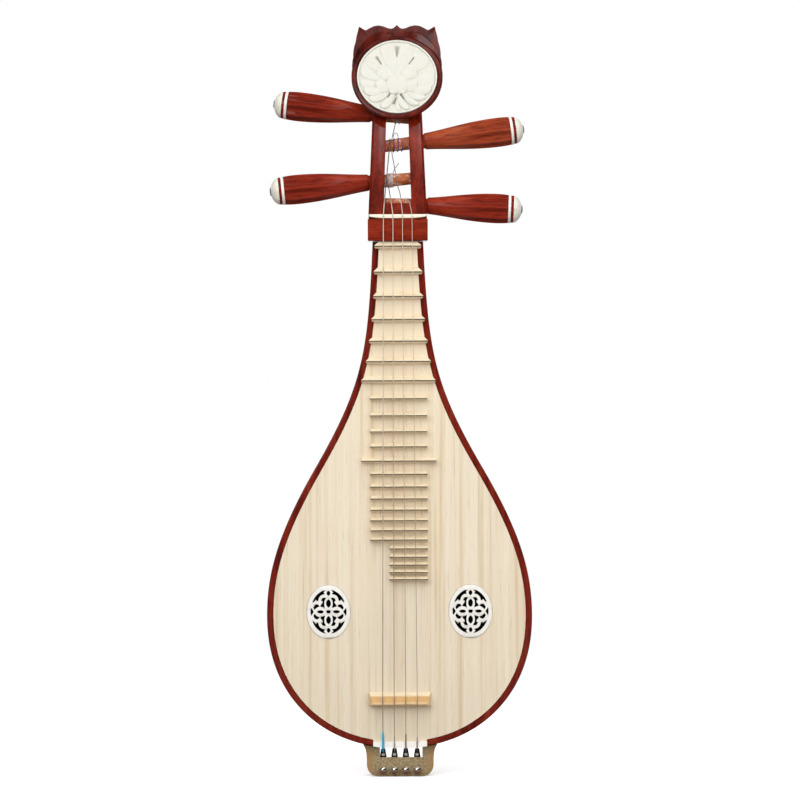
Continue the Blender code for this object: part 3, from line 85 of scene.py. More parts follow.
def add(tree, kind, settings=None, **links):
    """One node with its settings, and its inputs linked or set by name.

    An input is named with underscores for spaces, or i and its number.  The
    value may be another node, whose first output is taken, or an output
    socket, or a plain value.
    """
    node = tree.nodes.new(kind)
    for key, value in (settings or {}).items():
        setattr(node, key, value)
    for key, value in links.items():
        numbered = key[0] == "i" and key[1:].isdigit()
        socket = node.inputs[int(key[1:]) if numbered else key.replace("_", " ")]
        if isinstance(value, bpy.types.Node):
            value = value.outputs[0]
        if isinstance(value, bpy.types.NodeSocket):
            tree.links.new(value, socket)
        else:
            socket.default_value = value
    return node


# Studio: a white sweep.  The lens sees it at full white, and it throws a
# little less on the instrument.  Gloss sees the white sweep behind, a soft box
# hung over the camera, and a dim room and floor everywhere else.
FLOOR_SIZE = 12.0
SURROUND_LIGHT = 0.46
DIM_ROOM = 0.05
SOFT_BOX_LOW = math.sin(math.radians(43.72))
SOFT_BOX_TOP = math.sin(math.radians(60.0))
SOFT_BOX_LEFT = 0.05
SOFT_BOX_RIGHT = 0.48
SOFT_BOX_LIGHT = 3.0

world = bpy.data.worlds.new("studio")
bpy.context.scene.world = world
world.use_nodes = True
tree = world.node_tree
tree.nodes.clear()
path = add(tree, "ShaderNodeLightPath")
way = add(tree, "ShaderNodeTexCoord")
way = add(tree, "ShaderNodeSeparateXYZ", None, i0=way.outputs["Generated"])
above = add(tree, "ShaderNodeMapRange", None, Value=way.outputs["Z"], From_Min=SOFT_BOX_LOW - 0.001, From_Max=SOFT_BOX_LOW + 0.007)
below = add(tree, "ShaderNodeMapRange", None, Value=way.outputs["Z"], From_Min=SOFT_BOX_TOP + 0.06, From_Max=SOFT_BOX_TOP - 0.06)
left = add(tree, "ShaderNodeMapRange", None, Value=way.outputs["X"], From_Min=SOFT_BOX_LEFT - 0.04, From_Max=SOFT_BOX_LEFT + 0.06, To_Min=0.3)
right = add(tree, "ShaderNodeMapRange", None, Value=way.outputs["X"], From_Min=SOFT_BOX_RIGHT + 0.12, From_Max=SOFT_BOX_RIGHT - 0.12)
aside = add(tree, "ShaderNodeMath", {"operation": "MULTIPLY"}, i0=left, i1=right)
far_left = add(tree, "ShaderNodeMapRange", None, Value=way.outputs["X"], From_Min=-0.6, From_Max=-0.3)
aside = add(tree, "ShaderNodeMath", {"operation": "MULTIPLY"}, i0=aside, i1=far_left)
before = add(tree, "ShaderNodeMapRange", None, Value=way.outputs["Y"], From_Min=0.0, From_Max=-0.1)
box = add(tree, "ShaderNodeMath", {"operation": "MULTIPLY"}, i0=above, i1=below)
box = add(tree, "ShaderNodeMath", {"operation": "MULTIPLY"}, i0=box, i1=aside)
box = add(tree, "ShaderNodeMath", {"operation": "MULTIPLY"}, i0=box, i1=before)
box = add(tree, "ShaderNodeMapRange", None, Value=box, To_Min=DIM_ROOM, To_Max=SOFT_BOX_LIGHT)
behind = add(tree, "ShaderNodeMapRange", None, Value=way.outputs["Y"], From_Min=0.3, From_Max=0.8)
level = add(tree, "ShaderNodeMath", {"operation": "ABSOLUTE"}, i0=way.outputs["Z"])
level = add(tree, "ShaderNodeMapRange", None, Value=level, From_Min=0.5, From_Max=0.15)
behind = add(tree, "ShaderNodeMath", {"operation": "MULTIPLY"}, i0=behind, i1=level)
room = add(tree, "ShaderNodeMath", {"operation": "MAXIMUM"}, i0=box, i1=behind)
thrown = add(tree, "ShaderNodeMath", {"operation": "MULTIPLY"}, i0=path.outputs["Is Glossy Ray"], i1=room)
diffuse = add(tree, "ShaderNodeMath", {"operation": "SUBTRACT"}, i0=1.0, i1=path.outputs["Is Glossy Ray"])
overhead = add(tree, "ShaderNodeMapRange", None, Value=way.outputs["Z"], To_Min=0.5 * SURROUND_LIGHT, To_Max=1.6 * SURROUND_LIGHT)
diffuse = add(tree, "ShaderNodeMath", {"operation": "MULTIPLY"}, i0=diffuse, i1=overhead)
thrown = add(tree, "ShaderNodeMath", {"operation": "ADD"}, i0=thrown, i1=diffuse)
seen = add(tree, "ShaderNodeMath", {"operation": "MAXIMUM"}, i0=path.outputs["Is Camera Ray"], i1=path.outputs["Is Transmission Ray"])
strength = add(tree, "ShaderNodeMath", {"operation": "MAXIMUM"}, i0=seen, i1=thrown)
background = add(tree, "ShaderNodeBackground", None, Color=linear("#ffffff"), Strength=strength)
add(tree, "ShaderNodeOutputWorld", None, Surface=background)

floor_mesh = bpy.data.meshes.new("floor")
half = FLOOR_SIZE / 2
floor_mesh.from_pydata([(-half, -half, 0), (half, -half, 0), (half, half, 0), (-half, half, 0)], [], [(0, 1, 2, 3)])
floor = bpy.data.objects.new("floor", floor_mesh)
bpy.context.scene.collection.objects.link(floor)
floor.location.z = -0.2 * MM
paper = bpy.data.materials.new("white_paper_sweep")
paper.use_nodes = True
tree = paper.node_tree
tree.nodes.clear()
path = add(tree, "ShaderNodeLightPath")
seen = add(tree, "ShaderNodeMath", {"operation": "MAXIMUM"}, i0=path.outputs["Is Camera Ray"], i1=path.outputs["Is Transmission Ray"])
matt = add(tree, "ShaderNodeBsdfDiffuse", None, Color=linear("#f2f2f2"))
dim = add(tree, "ShaderNodeBsdfDiffuse", None, Color=linear("#928c89"))
glow = add(tree, "ShaderNodeEmission", None, Color=linear("#ffffff"), Strength=0.42)
near = add(tree, "ShaderNodeAddShader", None, i0=matt, i1=glow)
white = add(tree, "ShaderNodeEmission", None, Color=linear("#ffffff"), Strength=1.0)
place = add(tree, "ShaderNodeTexCoord")
away = add(tree, "ShaderNodeVectorMath", {"operation": "LENGTH"}, i0=place.outputs["Object"])
far = add(tree, "ShaderNodeMapRange", None, Value=away.outputs["Value"], From_Min=0.35, From_Max=0.9)
shown = add(tree, "ShaderNodeMixShader", None, Fac=far, i1=near, i2=white)
either = add(tree, "ShaderNodeMixShader", None, Fac=seen, i1=dim, i2=shown)
add(tree, "ShaderNodeOutputMaterial", None, Surface=either)
floor_mesh.materials.append(paper)

for name, place, size, power in (
        ("key_lamp", (-1.1, -2.3, 1.5), 1.5, 31.5),
        ("fill_lamp", (1.25, -2.3, 0.6), 1.6, 25.0),
        ("top_lamp", (0.2, -1.3, 2.4), 1.5, 16.0),
        ("back_lamp", (0.3, 1.6, 1.4), 1.2, 12.0)):
    lamp_data = bpy.data.lights.new(name, "AREA")
    lamp_data.size = size
    lamp_data.energy = power
    lamp = bpy.data.objects.new(name, lamp_data)
    lamp.visible_glossy = name == "key_lamp"
    bpy.context.scene.collection.objects.link(lamp)
    lamp.location = place
    lamp.rotation_mode = "QUATERNION"
    lamp.rotation_quaternion = (Vector((0.0, 0.0, 0.33)) - Vector(place)).to_track_quat("-Z", "Y")


# Back shell: body, neck and rim carved and hollowed from one block of dark
# red hardwood, sanded, stained and oiled to a soft gloss.  The front edge of
# its side shows round the soundboard as the rim.
BODY_END_Z = 24.2 * MM
BODY_WIDEST_Z = 139.0 * MM
BODY_HALF_WIDTH = 114.6 * MM
LOWER_BOUT_POWER = 2.16
WAIST = np.array((72.66, 265.8)) * MM
WAIST_LEAN = np.array((-0.58, 1.0))
NECK_TOP = np.array((21.9, 462.2)) * MM
NECK_DEPTH = 26.0 * MM
BODY_DEPTH = 52.0 * MM
DEEPEST_Z = 150.0 * MM
HEEL_Z = 400.0 * MM
CAVITY_TOP_Z = 352.0 * MM
BACK_ROUNDNESS = 2.4
SIDE_STRAIGHT = 9.0 * MM
RIM_WIDTH = 5.3 * MM
REBATE_DEPTH = 5.3 * MM
SIDE_THICKNESS = 9.5 * MM
BACK_THICKNESS = 5.0 * MM
SADDLE_HALF_LENGTH = 23.3 * MM
RIM_ROUNDING = 1.3 * MM


def grid_mesh(name, points, uv=None, grain=None, crease=32.0):
    """A surface from a grid of points: every four neighbours make one face.

    Points that meet, as at a seam or a pole, are joined.  uv holds two values
    for each point, and grain three: a place in the piece's own axes, which
    wood grain and windings follow.
    """
    rows, columns = points.shape[:2]
    number = np.arange(rows * columns).reshape(rows, columns)
    quads = np.stack([number[:-1, :-1], number[:-1, 1:], number[1:, 1:], number[1:, :-1]], axis=-1).reshape(-1, 4)
    mesh = bpy.data.meshes.new(name)
    mesh.from_pydata(points.reshape(-1, 3), [], quads)
    if uv is not None:
        layer = mesh.uv_layers.new(name="UVMap")
        layer.data.foreach_set("uv", uv.reshape(-1, 2)[quads.reshape(-1)].astype(np.float32).ravel())
    if grain is not None:
        layer = mesh.attributes.new("grain", "FLOAT_VECTOR", "POINT")
        layer.data.foreach_set("vector", grain.reshape(-1, 3).astype(np.float32).ravel())
    work = bmesh.new()
    work.from_mesh(mesh)
    bmesh.ops.remove_doubles(work, verts=work.verts, dist=0.002 * MM)
    bmesh.ops.dissolve_degenerate(work, edges=work.edges, dist=0.001 * MM)
    bmesh.ops.recalc_face_normals(work, faces=work.faces)
    work.to_mesh(mesh)
    work.free()
    mesh.shade_smooth()
    mesh.set_sharp_from_angle(angle=math.radians(crease))
    return mesh


def place_piece(mesh, material, body, slot, *nodes, flat=False):
    """A finished mesh as a piece: its material, its body and the nodes that it stands for.

    A piece that bends between two bodies is given none.  On one with flat
    sides, only the rounded edges between them are shaded as round.
    """
    piece = bpy.data.objects.new(mesh.name, mesh)
    bpy.context.scene.collection.objects.link(piece)
    mesh.materials.clear()
    mesh.materials.append(material)
    if body:
        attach(piece, body)
    if nodes:
        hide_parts(*nodes)
    if flat:
        sides = piece.modifiers.new("flat_sides", "WEIGHTED_NORMAL")
        sides.weight = 100
        sides.keep_sharp = True
    return piece


def start_material(name, roughness, metallic=0.0):
    """A new material with its tree and its Principled shader."""
    material = bpy.data.materials.new(name)
    material.use_nodes = True
    shader = material.node_tree.nodes["Principled BSDF"]
    shader.inputs["Roughness"].default_value = roughness
    shader.inputs["Metallic"].default_value = metallic
    return material, material.node_tree, shader


def carved_hardwood(name, stretch, light, middle, dark, own_axes=False, roughness=0.40, pore_mm=0.5, lacquer=0.4):
    """Dense red hardwood, lacquered: broad bands of colour, fine fibres and short dark pores.

    stretch shortens the pattern's scale along the grain.  Pores are some 0.15
    mm wide in the wood and drawn as pore_mm, so that they show.
    """
    material, tree, shader = start_material(name, roughness)
    if own_axes:
        place = add(tree, "ShaderNodeAttribute", {"attribute_name": "grain"}).outputs["Vector"]
    else:
        place = add(tree, "ShaderNodeTexCoord").outputs["Object"]
    along = add(tree, "ShaderNodeMapping", {"vector_type": "POINT"}, Vector=place, Scale=stretch)
    band = add(tree, "ShaderNodeTexNoise", None, Vector=along, Scale=1 / (9 * MM), Detail=3.0, Distortion=0.6)
    fibre = add(tree, "ShaderNodeTexNoise", None, Vector=along, Scale=1 / (1.6 * MM), Detail=5.0, Roughness=0.7)
    both = add(tree, "ShaderNodeMix", {"data_type": "FLOAT"}, i0=0.42, i2=band, i3=fibre)
    colour = add(tree, "ShaderNodeValToRGB", None, Fac=both)
    ramp = colour.color_ramp
    ramp.elements[0].position, ramp.elements[0].color = 0.36, linear(dark)
    ramp.elements[1].position, ramp.elements[1].color = 0.66, linear(light)
    ramp.elements.new(0.5).color = linear(middle)
    pore = add(tree, "ShaderNodeTexNoise", None, Vector=along, Scale=1 / (pore_mm * 2.4 * MM), Detail=1.0)
    pore = add(tree, "ShaderNodeMapRange", None, Value=pore, From_Min=0.66, From_Max=0.72)
    tint = add(tree, "ShaderNodeMix", {"data_type": "RGBA"}, i0=0.0, i6=colour, i7=linear(dark))
    share = add(tree, "ShaderNodeMath", {"operation": "MULTIPLY"}, i0=pore, i1=0.75)
    tree.links.new(share.outputs[0], tint.inputs[0])
    tree.links.new(tint.outputs[2], shader.inputs["Base Color"])
    level = add(tree, "ShaderNodeMath", {"operation": "SUBTRACT"}, i0=fibre, i1=pore)
    relief = add(tree, "ShaderNodeBump", None, Height=level, Distance=0.05 * MM, Strength=0.55)
    tree.links.new(relief.outputs[0], shader.inputs["Normal"])
    shine = add(tree, "ShaderNodeMapRange", None, Value=band, To_Min=roughness - 0.07, To_Max=roughness + 0.10)
    tree.links.new(shine.outputs[0], shader.inputs["Roughness"])
    shader.inputs["Specular IOR Level"].default_value = 0.06
    shader.inputs["Coat Weight"].default_value = lacquer
    shader.inputs["Coat Roughness"].default_value = 0.09
    return material


def cubic(points, count):
    """Points along a cubic Bezier curve: the four Bernstein weights times its four points."""
    t = np.linspace(0.0, 1.0, count)[:, None]
    p = [np.array(point, dtype=float) for point in points]
    return (1 - t) ** 3 * p[0] + 3 * t * (1 - t) ** 2 * p[1] + 3 * t ** 2 * (1 - t) * p[2] + t ** 3 * p[3]


def body_outline(count):
    """The right half of the pear outline and its inward normals, evenly spread.

    The lower bout is a superellipse quarter, and two Bezier curves carry the
    shoulder through the waist into the neck.
    """
    angle = np.linspace(0.0, math.pi / 2, 400)
    power = 2.0 / LOWER_BOUT_POWER
    bout = np.column_stack([
        BODY_HALF_WIDTH * np.sin(angle) ** power,
        BODY_WIDEST_Z - (BODY_WIDEST_Z - BODY_END_Z) * np.cos(angle) ** power])
    widest = (BODY_HALF_WIDTH, BODY_WIDEST_Z)
    shoulder = cubic([widest, (BODY_HALF_WIDTH, BODY_WIDEST_Z + 34 * MM), WAIST - WAIST_LEAN * 59 * MM, WAIST], 400)
    neck = cubic([
        WAIST, WAIST + WAIST_LEAN * 73.5 * MM, (NECK_TOP[0] + 4.3 * MM, NECK_TOP[1] - 95.7 * MM), NECK_TOP], 400)
    line = np.vstack([bout, shoulder[1:], neck[1:]])
    run = np.concatenate([[0.0], np.cumsum(np.linalg.norm(np.diff(line, axis=0), axis=1))])
    places = np.linspace(0.0, run[-1], count)
    notch = np.interp(SADDLE_HALF_LENGTH + 0.3 * MM, bout[:, 0], run[:400])
    places = np.sort(np.concatenate([places, [notch, notch + 0.02 * MM]]))
    line = np.column_stack([np.interp(places, run, line[:, 0]), np.interp(places, run, line[:, 1])])
    along = np.gradient(line, axis=0)
    along /= np.linalg.norm(along, axis=1)[:, None]
    inward = np.column_stack([-along[:, 1], along[:, 0]])
    inward[0] = (0.0, 1.0)
    return line, inward


def shell_ribs(line, inward, inset, wall, start, count):
    """Ribs of a bowl, one for each point of the outline.

    A rib runs straight back from the rim to the side's depth, and then along
    a superellipse quarter to the spine; low ribs fan out up the back.
    """
    rim = line + inward * inset
    x, z = np.maximum(rim[:, 0], 0.0), rim[:, 1]
    fan = np.clip((205 * MM - z) / (205 * MM - BODY_END_Z), 0.0, 1.0)
    spine = z + 53.8 * MM * fan ** 2
    ease = np.clip((spine - DEEPEST_Z) / (HEEL_Z - DEEPEST_Z), 0.0, 1.0)
    depth = NECK_DEPTH + (BODY_DEPTH - NECK_DEPTH) * (0.5 + 0.5 * np.cos(math.pi * ease)) - wall
    if wall > 0:
        depth = np.where(z > CAVITY_TOP_Z, start + 0.1 * MM, depth)
    straight = np.maximum(start, np.minimum(SIDE_STRAIGHT, depth * 0.5))
    quarter = np.linspace(0.0, math.pi / 2, count)
    out = np.cos(quarter) ** (2.0 / BACK_ROUNDNESS)
    back = np.sin(quarter) ** (2.0 / BACK_ROUNDNESS)
    out[-1] = 0.0
    ribs = np.empty((len(line), count, 3))
    ribs[:, :, 0] = x[:, None] * out
    ribs[:, :, 1] = straight[:, None] + (depth - straight)[:, None] * back
    ribs[:, :, 2] = spine[:, None] + (z - spine)[:, None] * out
    return ribs


def back_shell():
    """The bowl as one closed skin: rim, side and back outside, and the hollow inside.

    Across the body a loop runs from the middle of the hollow's floor up its
    wall, over the ledge and the rim and round the outside to the spine; its
    mirror image closes it.
    """
    line, inward = body_outline(190)
    notched = np.where(line[:, 0] < SADDLE_HALF_LENGTH + 0.31 * MM, REBATE_DEPTH, 0.0)
    inside = shell_ribs(line, inward, SIDE_THICKNESS, BACK_THICKNESS, REBATE_DEPTH, 16)[:, ::-1]
    outside = shell_ribs(line, inward, 0.0, 0.0, RIM_ROUNDING, 34)
    rim = []
    for inset, depth in (
            (SIDE_THICKNESS, REBATE_DEPTH), (RIM_WIDTH, REBATE_DEPTH), (RIM_WIDTH, 0.3 * MM),
            (RIM_WIDTH - 0.3 * MM, 0.0), (RIM_ROUNDING, 0.0), (0.62 * RIM_ROUNDING, 0.08 * RIM_ROUNDING),
            (0.29 * RIM_ROUNDING, 0.29 * RIM_ROUNDING), (0.08 * RIM_ROUNDING, 0.62 * RIM_ROUNDING), (0.0, RIM_ROUNDING)):
        edge = line + inward * inset
        rim.append(np.column_stack([np.maximum(edge[:, 0], 0.0), np.maximum(depth, notched), edge[:, 1]]))
    loop = np.concatenate([inside, np.stack(rim, axis=1), outside], axis=1)
    mirror = loop[:, ::-1] * (-1.0, 1.0, 1.0)
    whole = np.concatenate([loop, mirror], axis=1)
    middle = whole[-1:] * (0.0, 0.0, 1.0) + (0.0, 0.5 * NECK_DEPTH, 0.0)
    return grid_mesh("back_shell_carved", np.concatenate([whole, middle]))


def paint_shade_in_hollow(material):
    """The hollow is left rough, and painted shade draws it nearly black: what faces forward, well behind the board."""
    tree = material.node_tree
    shader = next(node for node in tree.nodes if node.type == "BSDF_PRINCIPLED")
    colour = shader.inputs["Base Color"].links[0].from_socket
    facing = add(tree, "ShaderNodeSeparateXYZ", None, i0=add(tree, "ShaderNodeNewGeometry").outputs["Normal"])
    forward = add(tree, "ShaderNodeMapRange", None, Value=facing.outputs["Y"], From_Min=0.15, From_Max=-0.2)
    place = add(tree, "ShaderNodeSeparateXYZ", None, i0=add(tree, "ShaderNodeTexCoord").outputs["Object"])
    behind = add(tree, "ShaderNodeMapRange", None, Value=place.outputs["Y"], From_Min=6 * MM, From_Max=9 * MM)
    share = add(tree, "ShaderNodeMath", {"operation": "MULTIPLY"}, i0=forward, i1=behind)
    tone = add(tree, "ShaderNodeMix", {"data_type": "RGBA"}, i0=share, i6=colour, i7=linear("#170a07"))
    tree.links.new(tone.outputs[2], shader.inputs["Base Color"])


red_hardwood = carved_hardwood("red_hardwood_body", (1.0, 1.0, 0.10), "#8a301c", "#701a0d", "#430d06")
# Painted shade: the inside of the closed body is drawn nearly black.
paint_shade_in_hollow(red_hardwood)
place_piece(back_shell(), red_hardwood, "body", "red_hardwood", "back_shell")


def dress(material, *names):
    """Give CAD nodes a material."""
    for name in names:
        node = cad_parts[name]
        node.data.materials.clear()
        node.data.materials.append(material)


# Soundboard, its three braces and the sound post: quarter-sawn paulownia,
# planed and left bare.  Straight growth lines run up the board, and it has
# gone greyer where hands and dust reach it near the lower end.  Higher up,
# between the frets on the body, it is painted paler as painted light.
def planed_paulownia():
    """Pale wood with straight lines 2 to 6 mm apart and grey-brown vessel lines."""
    material, tree, shader = start_material("paulownia_planed", 0.62)
    place = add(tree, "ShaderNodeTexCoord").outputs["Object"]
    drawn = add(tree, "ShaderNodeMapping", {"vector_type": "POINT"}, Vector=place, Scale=(1.0, 1.0, 0.012))
    growth = add(tree, "ShaderNodeTexNoise", None, Vector=drawn, Scale=1 / (5.0 * MM), Detail=4.0, Roughness=0.6, Distortion=0.2)
    ramp = add(tree, "ShaderNodeValToRGB", None, Fac=growth)
    ramp.color_ramp.elements[0].position, ramp.color_ramp.elements[0].color = 0.30, linear("#d6bf99")
    ramp.color_ramp.elements[1].position, ramp.color_ramp.elements[1].color = 0.62, linear("#efe3cd")
    ramp.color_ramp.elements.new(0.44).color = linear("#e9dac0")
    vessel = add(tree, "ShaderNodeMapping", {"vector_type": "POINT"}, Vector=place, Scale=(1.0, 1.0, 0.03))
    vessel = add(tree, "ShaderNodeTexNoise", None, Vector=vessel, Scale=1 / (1.1 * MM), Detail=3.0, Roughness=0.75)
    line = add(tree, "ShaderNodeMapRange", None, Value=vessel, From_Min=0.56, From_Max=0.70, To_Max=0.55)
    lined = add(tree, "ShaderNodeMix", {"data_type": "RGBA"}, i0=line, i6=ramp, i7=linear("#c2a884"))
    cloud = add(tree, "ShaderNodeTexNoise", None, Vector=place, Scale=1 / (60 * MM), Detail=3.0)
    height = add(tree, "ShaderNodeSeparateXYZ", None, i0=place)
    low = add(tree, "ShaderNodeMapRange", None, Value=height.outputs["Z"], From_Min=30 * MM, From_Max=190 * MM, To_Min=0.55, To_Max=0.08)
    dust = add(tree, "ShaderNodeMath", {"operation": "MULTIPLY"}, i0=low, i1=cloud)
    dust_and_painted_light = add(tree, "ShaderNodeMix", {"data_type": "RGBA"}, i0=dust, i6=lined.outputs[2], i7=linear("#c9bca6"))
    # Painted light: from 280 to 380 mm up, the board is drawn paler against the shade that falls between the frets
    # there.
    high = add(tree, "ShaderNodeMapRange", None, Value=height.outputs["Z"], From_Min=280 * MM, From_Max=380 * MM, To_Max=0.5)
    dust_and_painted_light = add(tree, "ShaderNodeMix", {"data_type": "RGBA"}, i0=high, i6=dust_and_painted_light.outputs[2], i7=linear("#fbecd0"))
    tree.links.new(dust_and_painted_light.outputs[2], shader.inputs["Base Color"])
    relief = add(tree, "ShaderNodeBump", None, Height=vessel, Distance=0.05 * MM, Strength=0.4)
    tree.links.new(relief.outputs[0], shader.inputs["Normal"])
    shader.inputs["Specular IOR Level"].default_value = 0.25
    return material


dress(planed_paulownia(), "soundboard", "brace_upper", "brace_middle", "brace_lower", "sound_post")


# Rosettes: two ovals of white bone, sawn through in the old scroll and flower
# pattern, let into the board and polished on their faces.
def polished_bone(name, light, shade, deep=None):
    """Bone: cream white with faint long streaks, and darker where carving is deep: patina and painted shade in the
    hollows.
    """
    material, tree, shader = start_material(name, 0.32)
    place = add(tree, "ShaderNodeTexCoord").outputs["Object"]
    drawn = add(tree, "ShaderNodeMapping", {"vector_type": "POINT"}, Vector=place, Scale=(1.0, 1.0, 0.2))
    streak = add(tree, "ShaderNodeTexNoise", None, Vector=drawn, Scale=1 / (2.5 * MM), Detail=4.0, Roughness=0.6)
    share = add(tree, "ShaderNodeMapRange", None, Value=streak, From_Min=0.42, From_Max=0.75, To_Max=0.5)
    colour = add(tree, "ShaderNodeMix", {"data_type": "RGBA"}, i0=share, i6=linear(light), i7=linear(shade))
    if deep:
        # The grain attribute's first value darkens the bone towards the deep colour: patina and painted shade.
        sunk = add(tree, "ShaderNodeAttribute", {"attribute_name": "grain"})
        sunk = add(tree, "ShaderNodeSeparateXYZ", None, i0=sunk.outputs["Vector"])
        colour = add(tree, "ShaderNodeMix", {"data_type": "RGBA"}, i0=sunk.outputs["X"], i6=colour.outputs[2], i7=linear(deep))
    tree.links.new(colour.outputs[2], shader.inputs["Base Color"])
    grit = add(tree, "ShaderNodeTexNoise", None, Vector=place, Scale=1 / (0.7 * MM), Detail=2.0)
    relief = add(tree, "ShaderNodeBump", None, Height=grit, Distance=0.02 * MM, Strength=0.4)
    tree.links.new(relief.outputs[0], shader.inputs["Normal"])
    shader.inputs["Specular IOR Level"].default_value = 0.2
    return material


def sawn_open(node, name, kerf):
    """A CAD rosette's mesh with its openings filed wider, each corner moved back square to its walls.

    The outer side, where walls face away from the middle, stays as it is.
    """
    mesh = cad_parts[node].data.copy()
    mesh.name = name
    work = bmesh.new()
    work.from_mesh(mesh)
    bmesh.ops.remove_doubles(work, verts=work.verts, dist=0.01 * MM)
    low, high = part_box(node)
    middle = (Vector(low) + Vector(high)) / 2
    half = (Vector(high) - Vector(low)) / 2
    moves = []
    for corner in work.verts:
        off = corner.co - middle
        if (off.x / half.x) ** 2 + (off.z / half.z) ** 2 > 0.88:
            continue
        walls = sum((face.normal for face in corner.link_faces if abs(face.normal.y) < 0.5), Vector((0.0, 0.0, 0.0)))
        if walls.length > 0.3:
            moves.append((corner, walls.normalized() * kerf))
    for corner, move in moves:
        corner.co -= move
    work.to_mesh(mesh)
    work.free()
    mesh.shade_smooth()
    mesh.set_sharp_from_angle(angle=math.radians(35.0))
    return mesh


bone = polished_bone("bone_polished", "#f4f2ec", "#e6e2d6")
for node in ("rosette_left", "rosette_right"):
    place_piece(sawn_open(node, node + "_sawn", 0.35 * MM), bone, "body", "white_bone", node, flat=True)


# Frets: bamboo ridges glued on the neck and board, their skin side towards
# the strings.  A long slope faces the nut, the crest is drawn as a dark line,
# and a short lip runs down towards the bridge, painted paler than the slope
# as painted light under the crest.
BRIDGE_Z = 63.5 * MM
NUT_Z = 483.5 * MM
FRET_CREST = 1.0 * MM
FRET_COUNT = 24
NECK_FRETS = 7


def ridge_mesh(name, left, right, section, columns=24, notch_at=(), notch=0.0):
    """A ridge across the strings: its section carried from left to right.

    A section point is (height up the instrument, how far it stands out, how
    far its ends are set in, place across the ridge from 0 to 1).  Both ends
    close to a point at mid-section.  A notch lowers the section where a
    string lies, as a bell curve 0.5 mm wide.
    """
    z, out, inset, across = (np.array(column, dtype=float) for column in zip(*section))
    share = np.linspace(0.0, 1.0, columns)[:, None]
    x = (left + inset) * (1 - share) + (right - inset) * share
    dip = sum(np.exp(-((x - place) / (0.5 * MM)) ** 2) for place in notch_at) if notch_at else 0.0 * x
    y = -(out - notch * dip * (out > 0.8 * out.max()))
    points = np.stack([x, y, np.broadcast_to(z, x.shape)], axis=-1)
    middle = points.mean(axis=1, keepdims=True)
    points = np.concatenate([
        np.broadcast_to(middle[:1], points[:1].shape), points, np.broadcast_to(middle[-1:], points[:1].shape)])
    points = np.concatenate([points, points[:, :1]], axis=1)
    across = np.append(across, 1.0)
    uv = np.stack([points[..., 0] / (100 * MM), np.broadcast_to(across, points.shape[:2])], axis=-1)
    return grid_mesh(name, points, uv=uv, crease=28.0)


def split_bamboo(name, slope, crest, lip, crest_at, width):
    """Bamboo: fibres along its length a third of a millimetre apart, and a colour for each part of its section: slope,
    crest and lip.
    """
    material, tree, shader = start_material(name, 0.42)
    place = add(tree, "ShaderNodeTexCoord").outputs["Object"]
    drawn = add(tree, "ShaderNodeMapping", {"vector_type": "POINT"}, Vector=place, Scale=(0.04, 1.0, 1.0))
    fibre = add(tree, "ShaderNodeTexNoise", None, Vector=drawn, Scale=1 / (0.7 * MM), Detail=3.0, Roughness=0.7)
    across = add(tree, "ShaderNodeSeparateXYZ", None, i0=add(tree, "ShaderNodeUVMap", {"uv_map": "UVMap"}))
    ramp = add(tree, "ShaderNodeValToRGB", None, Fac=across.outputs["Y"])
    elements = ramp.color_ramp.elements
    elements[0].position, elements[0].color = crest_at - width, linear(slope)
    elements[1].position, elements[1].color = crest_at + width, linear(lip)
    elements.new(crest_at - 0.7 * width).color = linear(crest)
    elements.new(crest_at + 0.7 * width).color = linear(crest)
    share = add(tree, "ShaderNodeMapRange", None, Value=fibre, From_Min=0.4, From_Max=0.7, To_Max=0.6)
    dark = add(tree, "ShaderNodeMix", {"data_type": "RGBA", "blend_type": "MULTIPLY"}, i0=share, i6=ramp, i7=linear("#e0c79a"))
    tree.links.new(dark.outputs[2], shader.inputs["Base Color"])
    relief = add(tree, "ShaderNodeBump", None, Height=fibre, Distance=0.04 * MM, Strength=0.5)
    tree.links.new(relief.outputs[0], shader.inputs["Normal"])
    return material


# Painted light: the lip is drawn paler than the slope, as the light under each crest.
fret_bamboo = split_bamboo("bamboo_fret", "#f3e7cc", "#5c543f", "#fbf0da", 0.55, 0.085)
for number in range(1, FRET_COUNT + 1):
    node = "fret_%02d" % number
    low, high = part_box(node)
    on_neck = number <= NECK_FRETS
    flare = 3.8 * MM if on_neck else 0.9 * MM
    lower_run = 1.8 * MM if on_neck else 1.2 * MM
    tall = -low[1]
    crest = low[2] + lower_run
    top = high[2]
    section = [
        (top, 0.0, flare, 0.0), (top, 0.35 * tall, flare, 0.08), (top - 0.10 * (top - crest), 0.44 * tall, 0.9 * flare, 0.12),
        (crest + 1.2 * MM, 0.86 * tall, 0.16 * flare, 0.36), (crest + 0.55 * FRET_CREST, 0.965 * tall, 0.0, 0.47),
        (crest + 0.25 * FRET_CREST, tall, 0.0, 0.52), (crest - 0.25 * FRET_CREST, tall, 0.0, 0.58),
        (crest - 0.5 * FRET_CREST, 0.96 * tall, 0.0, 0.62), (low[2] + 0.1 * MM, 0.62 * tall, 0.2 * flare, 0.84),
        (low[2], 0.58 * tall, 0.2 * flare, 0.86), (low[2], 0.0, 0.2 * flare, 0.95)]
    place_piece(ridge_mesh(node + "_ridge", low[0], high[0], section), fret_bamboo, "body", "bamboo", node)
